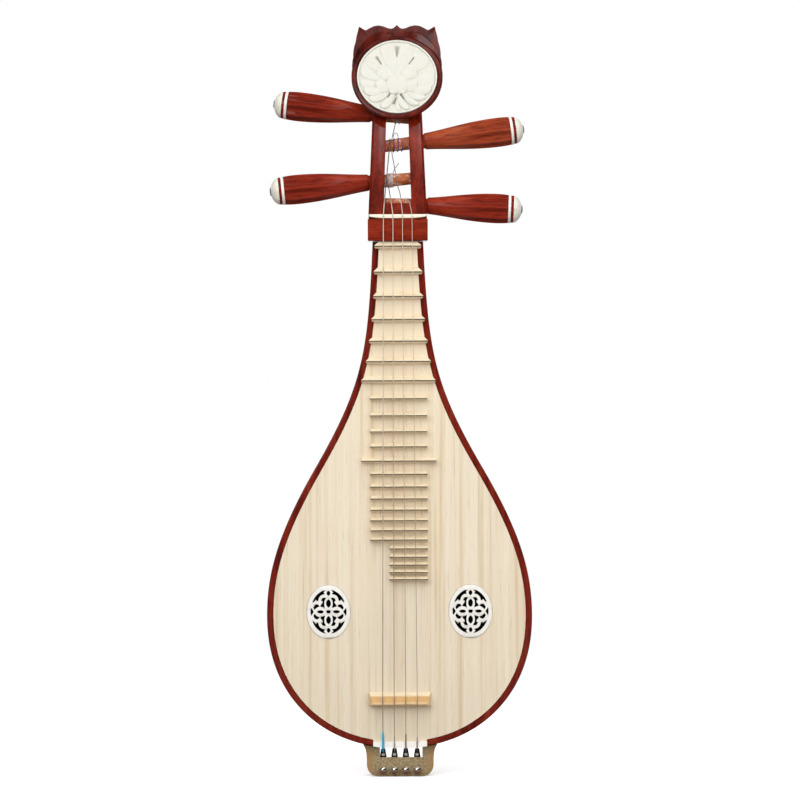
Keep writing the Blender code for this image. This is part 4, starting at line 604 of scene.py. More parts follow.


# Bridge: a block of bamboo glued on the board, its crest notched for the
# strings.  The face towards the frets is polished orange-brown; the upper
# slope, facing the light from above, is painted paler as painted light, and
# the lip is pale peach.
STRING_COUNT = 4
BRIDGE_SPACING = 9.94 * MM
BRIDGE_HEIGHT = 10.75 * MM
# Painted light: the upper slope is drawn paler than the face.
bridge_bamboo = split_bamboo("bamboo_bridge", "#efe2c6", "#d4ab70", "#eccfa4", 0.44, 0.22)
bridge_strings = [(index - 1.5) * BRIDGE_SPACING for index in range(STRING_COUNT)]
section = [
    (BRIDGE_Z + 9.1 * MM, 0.0, 0.0, 0.0), (BRIDGE_Z + 9.0 * MM, 1.3 * MM, 0.3 * MM, 0.05),
    (BRIDGE_Z + 8.7 * MM, 1.8 * MM, 0.4 * MM, 0.08), (BRIDGE_Z + 6.6 * MM, 6.7 * MM, 1.5 * MM, 0.20),
    (BRIDGE_Z + 6.1 * MM, 7.4 * MM, 1.7 * MM, 0.25), (BRIDGE_Z + 1.2 * MM, 10.4 * MM, 2.5 * MM, 0.60),
    (BRIDGE_Z + 0.8 * MM, BRIDGE_HEIGHT, 2.6 * MM, 0.64), (BRIDGE_Z - 0.7 * MM, BRIDGE_HEIGHT, 2.6 * MM, 0.70),
    (BRIDGE_Z - 1.1 * MM, 10.3 * MM, 2.5 * MM, 0.73), (BRIDGE_Z - 2.1 * MM, 7.6 * MM, 1.8 * MM, 0.85),
    (BRIDGE_Z - 2.2 * MM, 0.0, 0.0, 0.95)]
bridge = ridge_mesh(
    "bridge_notched", -26.9 * MM, 26.9 * MM, section, columns=240, notch_at=bridge_strings, notch=0.4 * MM)
place_piece(bridge, bridge_bamboo, "body", "bamboo", "bridge")


# Nut block: a block of the same hardwood across the top of the neck, its grain
# from side to side.
dress(carved_hardwood("red_hardwood_nut", (0.10, 1.0, 1.0), "#99341c", "#7d220f", "#4d1107"), "nut_block")


# Pegbox: two cheeks joined by a front plate and the foot, cut from one piece
# of the same hardwood and screwed and glued to the neck.  Its edges are
# eased, so they catch the light.
def eased_copy(node, name, width, segments=2, flat=2.0, limit=38.0, shift=None, chamfer=None):
    """A CAD node's mesh with its loose triangles joined and its edges rounded.

    shift is given the places of all corners and returns where they go.
    chamfer is a width and a test of both ends of an edge that gets a flat cut.
    """
    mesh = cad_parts[node].data.copy()
    mesh.name = name
    work = bmesh.new()
    work.from_mesh(mesh)
    bmesh.ops.remove_doubles(work, verts=work.verts, dist=0.01 * MM)
    bmesh.ops.dissolve_limit(work, angle_limit=math.radians(flat), verts=work.verts, edges=work.edges)
    if shift:
        places = shift(np.array([vertex.co for vertex in work.verts]))
        for vertex, place in zip(work.verts, places):
            vertex.co = place
    if chamfer:
        chosen = [edge for edge in work.edges if chamfer[1](edge.verts[0].co, edge.verts[1].co)]
        bmesh.ops.bevel(work, geom=chosen, offset=chamfer[0], offset_type="OFFSET", segments=1, affect="EDGES", clamp_overlap=True)
    sharp = [edge for edge in work.edges if len(edge.link_faces) == 2 and edge.calc_face_angle(0.0) > math.radians(limit)]
    bmesh.ops.bevel(
        work, geom=sharp, offset=width, offset_type="OFFSET", segments=segments, profile=0.5,
        affect="EDGES", clamp_overlap=True)
    work.to_mesh(mesh)
    work.free()
    mesh.shade_smooth()
    mesh.set_sharp_from_angle(angle=math.radians(30.0))
    return mesh


LEAN = math.radians(20.0)
NUT_BLOCK_PROUD = 6.3 * MM
PEGBOX_FOOT_Z = NUT_Z + 2.1 * MM
PEGBOX_LENGTH = 116.0 * MM
PEGBOX_FOOT_HALF_WIDTH = 25.3 * MM
PEGBOX_HEAD_HALF_WIDTH = 20.8 * MM


def is_outer_edge(one, other):
    """Whether an edge is a cheek's long front edge on its outer side."""
    def in_front(place):
        level = (place.z - PEGBOX_FOOT_Z) * math.tan(LEAN) - NUT_BLOCK_PROUD
        return abs(place.x) > PEGBOX_HEAD_HALF_WIDTH - 0.3 * MM and place.y < level + 0.5 * MM
    return in_front(one) and in_front(other) and abs(one.z - other.z) > 5 * MM


def cambered(material, middle, half, rise):
    """A lacquer surface drawn as slightly round across each cheek, by the square of the distance from its middle."""
    tree = material.node_tree
    across = add(tree, "ShaderNodeSeparateXYZ", None, i0=add(tree, "ShaderNodeTexCoord").outputs["Object"])
    off = add(tree, "ShaderNodeMath", {"operation": "ABSOLUTE"}, i0=across.outputs["X"])
    off = add(tree, "ShaderNodeMapRange", {"clamp": False}, Value=off, From_Min=middle, From_Max=middle + half)
    off = add(tree, "ShaderNodeMath", {"operation": "MULTIPLY"}, i0=off, i1=off)
    height = add(tree, "ShaderNodeMath", {"operation": "MULTIPLY"}, i0=off, i1=-rise)
    camber = add(tree, "ShaderNodeBump", None, Height=height, Distance=1.0, Strength=1.0)
    tree.links.new(camber.outputs[0], tree.nodes["Principled BSDF"].inputs["Coat Normal"])
    tree.nodes["Principled BSDF"].inputs["Coat Roughness"].default_value = 0.04


pegbox_wood = carved_hardwood("red_hardwood_pegbox", (1.0, 1.0, 0.10), "#8c2a12", "#6e1807", "#3e0a03", lacquer=1.0)
cambered(pegbox_wood, 17.5 * MM, 6.5 * MM, 0.32 * MM)
pegbox = eased_copy("pegbox", "pegbox_eased", 0.6 * MM, chamfer=(2.0 * MM, is_outer_edge))
place_piece(pegbox, pegbox_wood, "body", "red_hardwood", "pegbox", flat=True)


# Saddle and nut strip: polished bone.  The saddle takes the strings over the
# body's end and is glued tight against the board; the nut strip, yellower and
# filed round at its lower corners, stands on the nut block's upper edge.
def against_board(places):
    """The saddle's upper side moved up by the glue's thickness."""
    upper = places[:, 2] > places[:, 2].max() - 0.5 * MM
    return places + upper[:, None] * np.array((0.0, 0.0, 0.55 * MM))


saddle_bone = polished_bone("bone_saddle", "#fcfaf4", "#f0ede2")
saddle = eased_copy("saddle", "saddle_polished", 0.2 * MM, shift=against_board)
place_piece(saddle, saddle_bone, "body", "white_bone", "saddle", flat=True)
warm_bone = polished_bone("bone_warm", "#fff6e2", "#f2e6cb")


def filed_strip():
    """The nut strip: a rounded section carried across, its lower side rising by the fourth power to the ends."""
    low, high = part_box("nut_strip")
    share = np.concatenate([[-1.0], np.linspace(-1.0, 1.0, 49), [1.0]])[:, None]
    closed = np.ones(share.shape)
    closed[[0, -1]] = 0.0
    turn = np.linspace(0.0, 2 * math.pi, 33)[None, :]
    depth = np.sign(np.cos(turn)) * np.abs(np.cos(turn)) ** 0.3
    height = np.sign(np.sin(turn)) * np.abs(np.sin(turn)) ** 0.3
    bottom = low[2] + 1.7 * MM * share ** 4
    end = np.sqrt(1.0 - np.clip((np.abs(share) - 0.985) / 0.015, 0.0, 1.0) ** 2 * 0.6) * closed
    y = (low[1] + high[1]) / 2 + (high[1] - low[1]) / 2 * depth * end
    z = (bottom + high[2]) / 2 + (high[2] - bottom) / 2 * height * end
    x = share * high[0] + 0 * turn
    return grid_mesh("nut_strip_filed", np.stack([x, y, z], axis=-1), crease=60.0)


place_piece(filed_strip(), warm_bone, "body", "white_bone", "nut_strip")


# Head: a carved plate of the same wood that leans back with the pegbox.  A
# round moulding frames the flower, and above it two hollow scoops run up to
# the five points of the crown.
RING_CENTRE = 124.8 * MM
RING_RADIUS = 39.8 * MM
RING_WIDTH = 4.6 * MM
PLATE_FRONT = -10.0 * MM
PLATE_BACK = -0.3 * MM
POCKET_FLOOR = -6.0 * MM
BACK_SHARE = 0.90


def leaning(across, depth, height):
    """Places in the pegbox's axes, turned back by its lean into the instrument's axes."""
    y = -NUT_BLOCK_PROUD + depth * math.cos(LEAN) + height * math.sin(LEAN)
    z = PEGBOX_FOOT_Z + height * math.cos(LEAN) - depth * math.sin(LEAN)
    return np.stack(np.broadcast_arrays(across, y, z), axis=-1)


def crown_radius(angle):
    """How far the plate's edge is from the ring's centre, by the angle from straight up."""
    turn = np.abs((angle + math.pi) % (2 * math.pi) - math.pi)
    shares = np.array([
        (0.0, 1.281), (0.035, 1.245), (0.075, 1.204), (0.133, 1.188), (0.201, 1.204), (0.289, 1.246),
        (0.397, 1.271), (0.503, 1.256), (0.603, 1.204), (0.686, 1.151), (0.737, 1.178), (0.80, 1.226),
        (0.836, 1.250), (0.860, 1.140), (0.908, 0.884), (0.962, 0.503), (0.985, 0.226), (1.0, 0.0)])
    at = np.arctan2(shares[:, 0], shares[:, 1])
    reach = RING_RADIUS * np.hypot(shares[:, 0], shares[:, 1])
    return np.interp(turn, at, reach)


def carved_head():
    """The head as rings about the flower's centre, from the pocket's floor to the back.

    Outside the half-round moulding a cove is cut: it drops steeply at the
    moulding and rises almost evenly to an arc that nears the plate's side.
    It ends in a point on each side of the middle.  Beyond the arc a facet
    falls away to the crown's edge.
    """
    angle = np.linspace(0.0, 2 * math.pi, 721)[None, :]
    edge = crown_radius(angle)
    inner = RING_RADIUS - RING_WIDTH
    turn = np.degrees(np.abs((angle + math.pi) % (2 * math.pi) - math.pi))
    arc = RING_RADIUS * np.interp(turn, [0, 6, 19, 28, 41, 54, 62, 75], [1.06, 1.11, 1.17, 1.17, 1.13, 1.09, 1.06, 1.02])
    arc = np.minimum(arc, edge - 0.5 * MM)
    cut = np.interp(turn, [0, 5, 14, 24, 34, 50, 62, 72], [0.0, 0.08, 0.42, 0.85, 1.0, 0.9, 0.5, 0.0]) * 1.9 * MM
    fall = np.interp(turn, [0, 32, 36, 50, 60, 72], [0.02, 0.02, 0.09, 0.09, 0.05, 0.0])
    arc = np.maximum(arc, RING_RADIUS + 0.05 * MM)
    edge_room = np.maximum(edge - arc, 0.0)
    rings = [(0.0 * edge, POCKET_FLOOR), (inner + 0 * edge, POCKET_FLOOR), (inner + 0 * edge, PLATE_FRONT - 0.4 * MM)]
    for t in np.linspace(0.0, math.pi, 11):
        radius = inner + RING_WIDTH * (0.5 - 0.5 * np.cos(t)) + 0 * edge
        rings.append((np.minimum(radius, edge - 0.2 * MM), PLATE_FRONT - 0.4 * MM - 1.8 * MM * math.sin(t) ** 0.9))
    for share in np.linspace(0.03, 1.0, 14):
        radius = RING_RADIUS + (arc - RING_RADIUS) * share
        rings.append((np.minimum(radius, edge - 0.18 * MM), PLATE_FRONT + cut * (1.0 - share) ** 1.15 * min(1.0, share / 0.1)))
    for share in (0.15, 0.35, 0.6, 0.85):
        rings.append((np.minimum(arc + edge_room * share, edge - 0.15 * MM), PLATE_FRONT + fall * share * edge_room))
    outer = PLATE_FRONT + fall * edge_room
    rings += [
        (edge - 0.12 * MM, outer + 0.08 * MM), (edge, outer + 0.6 * MM), (BACK_SHARE * edge, PLATE_BACK - 0.7 * MM),
        (BACK_SHARE * edge - 0.7 * MM, PLATE_BACK + 0 * edge), (0.0 * edge, PLATE_BACK + 0 * edge)]
    radius = np.concatenate([np.broadcast_to(r, edge.shape) for r, d in rings])
    depth = np.concatenate([np.broadcast_to(d, edge.shape) for r, d in rings])
    points = leaning(radius * np.sin(angle), depth, RING_CENTRE + radius * np.cos(angle))
    return grid_mesh("head_carved", points, crease=34.0)


def head_block():
    """The block behind the plate: it fills the room between the cheeks' ends and the ring."""
    profile = np.array([
        (-0.8, 116.3), (20.0, 116.3), (17.0, 130.2), (5.0, 158.0), (-0.8, 158.0), (-0.8, 116.3)]) * MM
    half = PEGBOX_HEAD_HALF_WIDTH
    rows = [leaning(x, profile[:, 0] * s + (1 - s) * 5 * MM, profile[:, 1] * s + (1 - s) * 135 * MM) for x, s in (
        (-half, 0.0), (-half, 0.965), (-half + 0.8 * MM, 1.0), (half - 0.8 * MM, 1.0), (half, 0.965), (half, 0.0))]
    return grid_mesh("head_block", np.stack(rows))


head_wood = carved_hardwood("red_hardwood_head", (1.0, 1.0, 0.16), "#702013", "#55150c", "#320a05", roughness=0.34, lacquer=0.5)
head_wood.node_tree.nodes["Principled BSDF"].inputs["Coat Roughness"].default_value = 0.18
place_piece(carved_head(), head_wood, "body", "red_hardwood", "head_frame")
place_piece(head_block(), head_wood, "body", "red_hardwood")


# Flower: a disc of white bone carved in relief and pressed into the ring.  A
# folded bud sits a little below the middle, five petals close round it, and
# outer petals overlap towards a rounded border, with slits sawn between some.
FLOWER_EDGE = 34.9 * MM
FLOWER_FRONT = -11.0 * MM
RELIEF = 3.1 * MM
BORDER = 0.95

# Places are in disc radii from its centre.  Each petal has its foot, its tip,
# its half width, how far its midline bows, and its height at foot and tip.
petals = [
    ((-0.10, 0.0), (-0.26, 0.93), 0.26, 0.02, 0.50, 0.58), ((0.10, 0.0), (0.25, 0.93), 0.25, -0.02, 0.46, 0.50),
    ((-0.16, 0.0), (-0.74, 0.58), 0.26, 0.03, 0.34, 0.44), ((0.16, 0.02), (0.74, 0.58), 0.29, -0.03, 0.36, 0.44),
    ((-0.12, -0.10), (-0.92, 0.16), 0.17, -0.05, 0.50, 0.56), ((0.14, -0.14), (0.94, -0.02), 0.25, 0.07, 0.58, 0.42),
    ((-0.12, -0.15), (-0.92, -0.16), 0.15, -0.06, 0.38, 0.44), ((0.14, -0.20), (0.86, -0.34), 0.15, 0.09, 0.66, 0.58),
    ((-0.12, -0.20), (-0.84, -0.38), 0.14, -0.10, 0.60, 0.60), ((0.12, -0.30), (0.72, -0.58), 0.11, 0.08, 0.54, 0.52),
    ((-0.10, -0.28), (-0.69, -0.63), 0.13, -0.06, 0.48, 0.48), ((0.10, -0.32), (0.52, -0.78), 0.10, 0.07, 0.66, 0.58),
    ((-0.06, -0.34), (-0.38, -0.86), 0.12, -0.04, 0.62, 0.52), ((0.02, -0.36), (0.28, -0.90), 0.10, 0.07, 0.50, 0.54),
    ((0.0, -0.55), (0.04, -0.94), 0.07, 0.02, 0.24, 0.36),
    ((0.0, -0.12), (-0.03, 0.50), 0.31, 0.0, 0.66, 0.66), ((0.02, -0.15), (0.48, 0.18), 0.24, -0.03, 0.80, 0.72),
    ((-0.02, -0.15), (-0.50, 0.20), 0.23, 0.03, 0.74, 0.72), ((0.05, -0.20), (0.52, -0.18), 0.19, 0.07, 0.88, 0.76),
    ((-0.05, -0.20), (-0.54, -0.22), 0.19, -0.07, 0.86, 0.70),
    ((0.0, -0.05), (-0.15, -0.48), 0.15, -0.05, 1.06, 0.92), ((0.0, -0.05), (0.16, -0.48), 0.15, 0.05, 1.02, 0.90),
]
slits = [
    ((-0.005, 0.54), (0.005, 0.80), 0.006, 0.046), ((-0.39, 0.34), (-0.50, 0.52), 0.010, 0.032), ((0.30, 0.34), (0.42, 0.52), 0.008, 0.012),
    ((-0.02, -0.56), (-0.08, -0.72), 0.008, 0.030), ((-0.19, -0.50), (-0.24, -0.57), 0.018, 0.010), ((0.09, -0.50), (0.16, -0.60), 0.014, 0.006)]


def petal_height(x, z, foot, tip, half, bow, low, high):
    """One petal over the disc: nothing outside it, and inside it a crowned leaf.

    It opens as a sine to three quarters of its length and rounds bluntly to
    its tip.  Across, it falls by the square of the distance from its midline.
    The lower petals have clear edges, turned up a little by a bell curve; the
    upper ones melt into each other.
    """
    run = np.array(tip) - foot
    length = np.hypot(*run)
    run = run / length
    along = ((x - foot[0]) * run[0] + (z - foot[1]) * run[1]) / length
    off = (x - foot[0]) * run[1] - (z - foot[1]) * run[0] - 4 * bow * along * (1 - along)
    opening = 0.30 + 0.70 * np.sin(math.pi / 2 * np.clip(along / 0.75, 0.0, 1.0))
    width = half * opening * np.sqrt(1.0 - np.clip((along - 0.75) / 0.25, 0.0, 1.0) ** 2.6)
    side = np.abs(off) / np.maximum(width, 1e-4)
    edge = 0.030 + 0.050 * (tip[1] > 0)
    inside = np.clip((1.0 - side) * width / edge, 0.0, 1.0) * (along > 0)
    crown = 1.0 - 0.42 * side ** 2 + 0.16 * np.exp(-((side - 0.84) / 0.10) ** 2) * (tip[1] < 0)
    return (low + (high - low) * np.clip(along, 0.0, 1.0)) * crown * inside * inside * (3 - 2 * inside)


def slit_depth(x, z, start, stop, half_start, half_stop):
    """A sawn slit: a bell curve across the line from start to stop."""
    run = np.array(stop) - start
    along = np.clip(((x - start[0]) * run[0] + (z - start[1]) * run[1]) / (run @ run), 0.0, 1.0)
    off = np.hypot(x - start[0] - along * run[0], z - start[1] - along * run[1])
    return np.exp(-(off / (half_start + (half_stop - half_start) * along)) ** 2)


def flower_height(x, z):
    """The highest petal at each place, the bud's half sphere, and the slits cut out of both."""
    height = 0.12 + 0.0 * x
    for petal in petals:
        height = np.maximum(height, petal_height(x, z, *petal))
    bud = np.clip(1.0 - (x / 0.27) ** 2 - ((z + 0.22) / 0.25) ** 2, 0.0, 1.0)
    height = np.maximum(height, (0.72 + 0.34 * np.sqrt(bud)) * (bud > 0))
    slit = np.maximum.reduce([slit_depth(x, z, *each) for each in slits])
    return height * (1.0 - slit) - 0.35 * slit, slit


def carved_flower():
    """The relief over a disc of rings, with its border a half round, its side and its back.

    A place is painted darker by how far it lies below the mean of eight places
    round it, near by and further off, more so towards the disc's lower side, and
    darkest in the slits: patina in the hollows and painted shade in them.
    """
    angle = np.linspace(0.0, 2 * math.pi, 541)[None, :]
    share = np.concatenate([np.linspace(0.0, BORDER, 140), np.linspace(BORDER, 1.0, 10)[1:]])[:, None]
    x, z = share * np.sin(angle), share * np.cos(angle)
    height, slit = flower_height(x, z)
    patina_and_shade = 0.55 * slit
    for away, share_of_patina_and_shade in ((0.03, 1.0), (0.10, 0.8)):
        turns = np.linspace(0.0, 2 * math.pi, 9)[:-1]
        about = sum(flower_height(x + away * math.sin(t), z + away * math.cos(t))[0] for t in turns) / 8
        patina_and_shade = patina_and_shade + np.clip(share_of_patina_and_shade * (about - height), 0.0, 0.2) * np.clip(0.42 - 0.8 * z, 0.10, 0.9)
    step = np.clip((share - BORDER) / (1.0 - BORDER), 0.0, 1.0)
    within = np.clip((BORDER + 0.004 - share) / 0.02, 0.0, 1.0)
    height = height * within + (1 - within) * 0.45 * np.sqrt(1.0 - np.clip(1.0 - step / 0.4, 0.0, 1.0) ** 2)
    patina_and_shade = patina_and_shade * within
    front = leaning(FLOWER_EDGE * x, FLOWER_FRONT - RELIEF * height, RING_CENTRE + FLOWER_EDGE * z)
    floor_depth = POCKET_FLOOR - 0.2 * MM
    rim_x, rim_z = FLOWER_EDGE * np.sin(angle), FLOWER_EDGE * np.cos(angle)
    wall = leaning(rim_x, floor_depth + 0 * rim_x, RING_CENTRE + rim_z)
    centre = leaning(0 * rim_x, floor_depth + 0 * rim_x, RING_CENTRE + 0 * rim_z)
    patina_and_shade = np.concatenate([patina_and_shade, np.zeros((2, patina_and_shade.shape[1]))])
    grain = np.stack([patina_and_shade, 0 * patina_and_shade, 0 * patina_and_shade], axis=-1)
    return grid_mesh("flower_carved", np.concatenate([front, wall, centre]), grain=grain, crease=60.0)


flower_bone = polished_bone("bone_carved", "#dddcd2", "#d3d2c6", deep="#827f69")
place_piece(carved_flower(), flower_bone, "body", "white_bone", "head_flower")


# Pegs: four turned and fluted handles of red hardwood.  Each ends in a white
# ring, a thin dark band and a domed cap of bone with a dark pin, and tapers
# to a shaft that is bare and chalked where it turns in the cheeks.
PEG_DEPTH = 12.0 * MM
PEG_FLUTES = 8
HANDLE_RADIUS = 13.1 * MM
COLLAR_RADIUS = 7.2 * MM
NECK_RADIUS = 6.2 * MM
WIDEST_SHARE = 0.86
NARROWING = 0.6 * MM
RING_LENGTH = 2.4 * MM
BAND_LENGTH = 2.2 * MM
CAP_LENGTH = 8.0 * MM
CAP_RADIUS = 11.7 * MM
pegs = {
    "peg_1": {"side": 1, "height": 70.5 * MM, "tilt": math.radians(7.4), "reach": 111.8 * MM},
    "peg_2": {"side": -1, "height": 37.2 * MM, "tilt": math.radians(-5.7), "reach": 111.6 * MM},
    "peg_3": {"side": -1, "height": 97.1 * MM, "tilt": math.radians(6.8), "reach": 109.3 * MM},
    "peg_4": {"side": 1, "height": 13.8 * MM, "tilt": math.radians(-2.8), "reach": 108.5 * MM},
}
CHEEK_NARROWING = (PEGBOX_FOOT_HALF_WIDTH - PEGBOX_HEAD_HALF_WIDTH) / PEGBOX_LENGTH
for peg in pegs.values():
    outside = peg["height"] + math.sin(peg["tilt"]) * PEGBOX_FOOT_HALF_WIDTH
    peg["cheek"] = (PEGBOX_FOOT_HALF_WIDTH - CHEEK_NARROWING * outside) / math.cos(peg["tilt"])


def on_peg(peg, along, radius, turn):
    """Places round a peg's axis: how far out along it, the radius, and the turn from its front."""
    a = np.asarray(along) * math.cos(peg["tilt"]) * peg["side"]
    rise = np.asarray(along) * math.sin(peg["tilt"])
    tilt_x = -math.sin(peg["tilt"]) * peg["side"]
    up = radius * np.sin(turn)
    front = -radius * np.cos(turn)
    return leaning(a + up * tilt_x, PEG_DEPTH + front, peg["height"] + rise + up * math.cos(peg["tilt"]))


def turned_piece(name, peg, profile, flutes=0.0, sides=192):
    """A piece turned on a peg's axis: its profile of (place, radius) carried round.

    Flutes cut each radius by the root of a sine's square and a small amount,
    which leaves ridges with a fine rounding between hollow facets, one of
    them level with the front; a third value in the profile fades them.
    """
    turn = np.linspace(0.0, 2 * math.pi, sides + 1)[None, :]
    along, radius, fluted = (np.array(column, dtype=float)[:, None] for column in zip(*profile))
    cut = flutes * fluted * np.sqrt(np.sin(PEG_FLUTES / 2 * (turn + LEAN)) ** 2 + 0.012)
    reach = radius * (1.0 - cut)
    points = on_peg(peg, along, reach, turn)
    grain = np.stack(np.broadcast_arrays(along + 0 * turn, reach * np.cos(turn), reach * np.sin(turn)), axis=-1)
    return grid_mesh(name, points, grain=grain, crease=30.0)


peg_woods = {
    "peg_1": carved_hardwood("red_hardwood_peg_1", (0.10, 1.0, 1.0), "#b55a35", "#9c4025", "#66220f", own_axes=True, lacquer=0.22),
    "peg_2": carved_hardwood("red_hardwood_peg_2", (0.10, 1.0, 1.0), "#a33a26", "#8a2918", "#56150a", own_axes=True, lacquer=0.22),
    "peg_3": carved_hardwood("red_hardwood_peg_3", (0.10, 1.0, 1.0), "#a03a20", "#822411", "#4e1207", own_axes=True, lacquer=0.22),
    "peg_4": carved_hardwood("red_hardwood_peg_4", (0.10, 1.0, 1.0), "#a83c22", "#8a2715", "#56160a", own_axes=True, lacquer=0.22),
}
band_wood = carved_hardwood("red_hardwood_band", (0.10, 1.0, 1.0), "#a92c1c", "#861a10", "#4c0d08", own_axes=True)
cap_bone = polished_bone("bone_cap", "#ecebdf", "#dcdacb")


def dark_horn():
    """Black-brown horn with paler streaks a millimetre apart, buffed."""
    material, tree, shader = start_material("horn_dark", 0.35)
    place = add(tree, "ShaderNodeAttribute", {"attribute_name": "grain"}).outputs["Vector"]
    streak = add(tree, "ShaderNodeTexNoise", None, Vector=place, Scale=1 / (1.0 * MM), Detail=3.0)
    tone = add(tree, "ShaderNodeMix", {"data_type": "RGBA"}, i0=streak, i6=linear("#17110e"), i7=linear("#4a3a30"))
    tree.links.new(tone.outputs[2], shader.inputs["Base Color"])
    return material


pin = dark_horn()


def chalked_shaft():
    """The shaft's bare wood: orange where it is rubbed, with white chalk left in patches."""
    material, tree, shader = start_material("peg_shaft_chalked", 0.66)
    place = add(tree, "ShaderNodeAttribute", {"attribute_name": "grain"}).outputs["Vector"]
    patch = add(tree, "ShaderNodeTexNoise", None, Vector=place, Scale=1 / (4.5 * MM), Detail=5.0, Roughness=0.7)
    chalk = add(tree, "ShaderNodeMapRange", None, Value=patch, From_Min=0.52, From_Max=0.64, To_Max=0.85)
    drawn = add(tree, "ShaderNodeMapping", {"vector_type": "POINT"}, Vector=place, Scale=(0.12, 1.0, 1.0))
    fibre = add(tree, "ShaderNodeTexNoise", None, Vector=drawn, Scale=1 / (1.2 * MM), Detail=4.0)
    wood = add(tree, "ShaderNodeMix", {"data_type": "RGBA"}, i0=fibre, i6=linear("#8e3a1c"), i7=linear("#d2793f"))
    both = add(tree, "ShaderNodeMix", {"data_type": "RGBA"}, i0=chalk, i6=wood.outputs[2], i7=linear("#e4d3c8"))
    tree.links.new(both.outputs[2], shader.inputs["Base Color"])
    relief = add(tree, "ShaderNodeBump", None, Height=patch, Distance=0.1 * MM, Strength=0.3)
    tree.links.new(relief.outputs[0], shader.inputs["Normal"])
    return material


shaft_wood = chalked_shaft()
for number, (name, peg) in enumerate(pegs.items(), 1):
    body = "tuning_peg_%d" % number
    cap_start = peg["reach"] - CAP_LENGTH
    band_start = cap_start - BAND_LENGTH
    ring_start = band_start - RING_LENGTH
    start = peg["cheek"] + 0.3 * MM + COLLAR_RADIUS * math.tan(abs(peg["tilt"]) + math.atan(CHEEK_NARROWING))
    share = np.linspace(0.0, 1.0, 60)
    rise = np.sin(math.pi / 2 * np.minimum(1.0, share / WIDEST_SHARE)) ** 1.37
    past = np.maximum(0.0, share - WIDEST_SHARE) / (1.0 - WIDEST_SHARE)
    radius = COLLAR_RADIUS + (HANDLE_RADIUS - COLLAR_RADIUS) * rise - NARROWING * past ** 2
    places = start + (ring_start - start) * share
    fade = np.clip((share - 0.18) / 0.5, 0.0, 1.0)
    mouth = peg["cheek"] - 2.0 * MM
    handle = [(mouth, 0.0, 0.0), (mouth, NECK_RADIUS, 0.0), (places[0], NECK_RADIUS, 0.0), (places[0], COLLAR_RADIUS - 0.3 * MM, 0.0)]
    handle += list(zip(places[1:], radius[1:], fade[1:])) + [(ring_start, 10.6 * MM, 0.0), (ring_start, 0.0, 0.0)]
    place_piece(turned_piece(name + "_handle", peg, handle, 0.22), peg_woods[name], body, "red_hardwood", name)
    end = -peg["cheek"] + 0.5 * MM
    shaft = [(end, 0.0, 0.0), (end, 4.4 * MM, 0.0), (end + 0.5 * MM, 4.9 * MM, 0.0), (mouth, 5.8 * MM, 0.0),
             (mouth + 1.0 * MM, 5.7 * MM, 0.0), (mouth + 1.0 * MM, 0.0, 0.0)]
    place_piece(turned_piece(name + "_shaft", peg, shaft, sides=48), shaft_wood, body, "red_hardwood")
    ring = [(ring_start, 10.5 * MM, 0), (ring_start + 0.05 * MM, 11.95 * MM, 0), (ring_start + 0.5 * MM, 12.3 * MM, 0),
            (band_start - 0.5 * MM, 12.1 * MM, 0), (band_start - 0.05 * MM, 11.75 * MM, 0), (band_start, 10.5 * MM, 0),
            (ring_start, 10.5 * MM, 0)]
    place_piece(turned_piece(name + "_ring", peg, ring), bone, body, "white_bone")
    band = [(band_start, 10.0 * MM, 0), (band_start + 0.05 * MM, 11.8 * MM, 0), (cap_start - 0.05 * MM, 11.7 * MM, 0),
            (cap_start, 10.0 * MM, 0), (band_start, 10.0 * MM, 0)]
    place_piece(turned_piece(name + "_band", peg, band), band_wood, body, "red_hardwood")
    t = np.linspace(0.0, 1.0, 18)
    dome = [(cap_start, 0.0, 0.0), (cap_start, CAP_RADIUS - 0.5 * MM, 0.0)]
    dome += [(cap_start + 0.3 * MM + (CAP_LENGTH - 0.9 * MM) * u, CAP_RADIUS * math.sqrt(max(0.0, 1.0 - u ** 1.5)), 1.0 - u) for u in t]
    place_piece(turned_piece(name + "_cap", peg, dome, 0.03), cap_bone, body, "white_bone")
    tip = peg["reach"]
    stud = [(tip - 1.6 * MM, 0.0, 0), (tip - 1.6 * MM, 3.7 * MM, 0), (tip - 0.6 * MM, 3.5 * MM, 0), (tip - 0.15 * MM, 2.2 * MM, 0),
            (tip, 0.0, 0)]
    place_piece(turned_piece(name + "_pin", peg, stud, sides=32), pin, body, "white_bone")


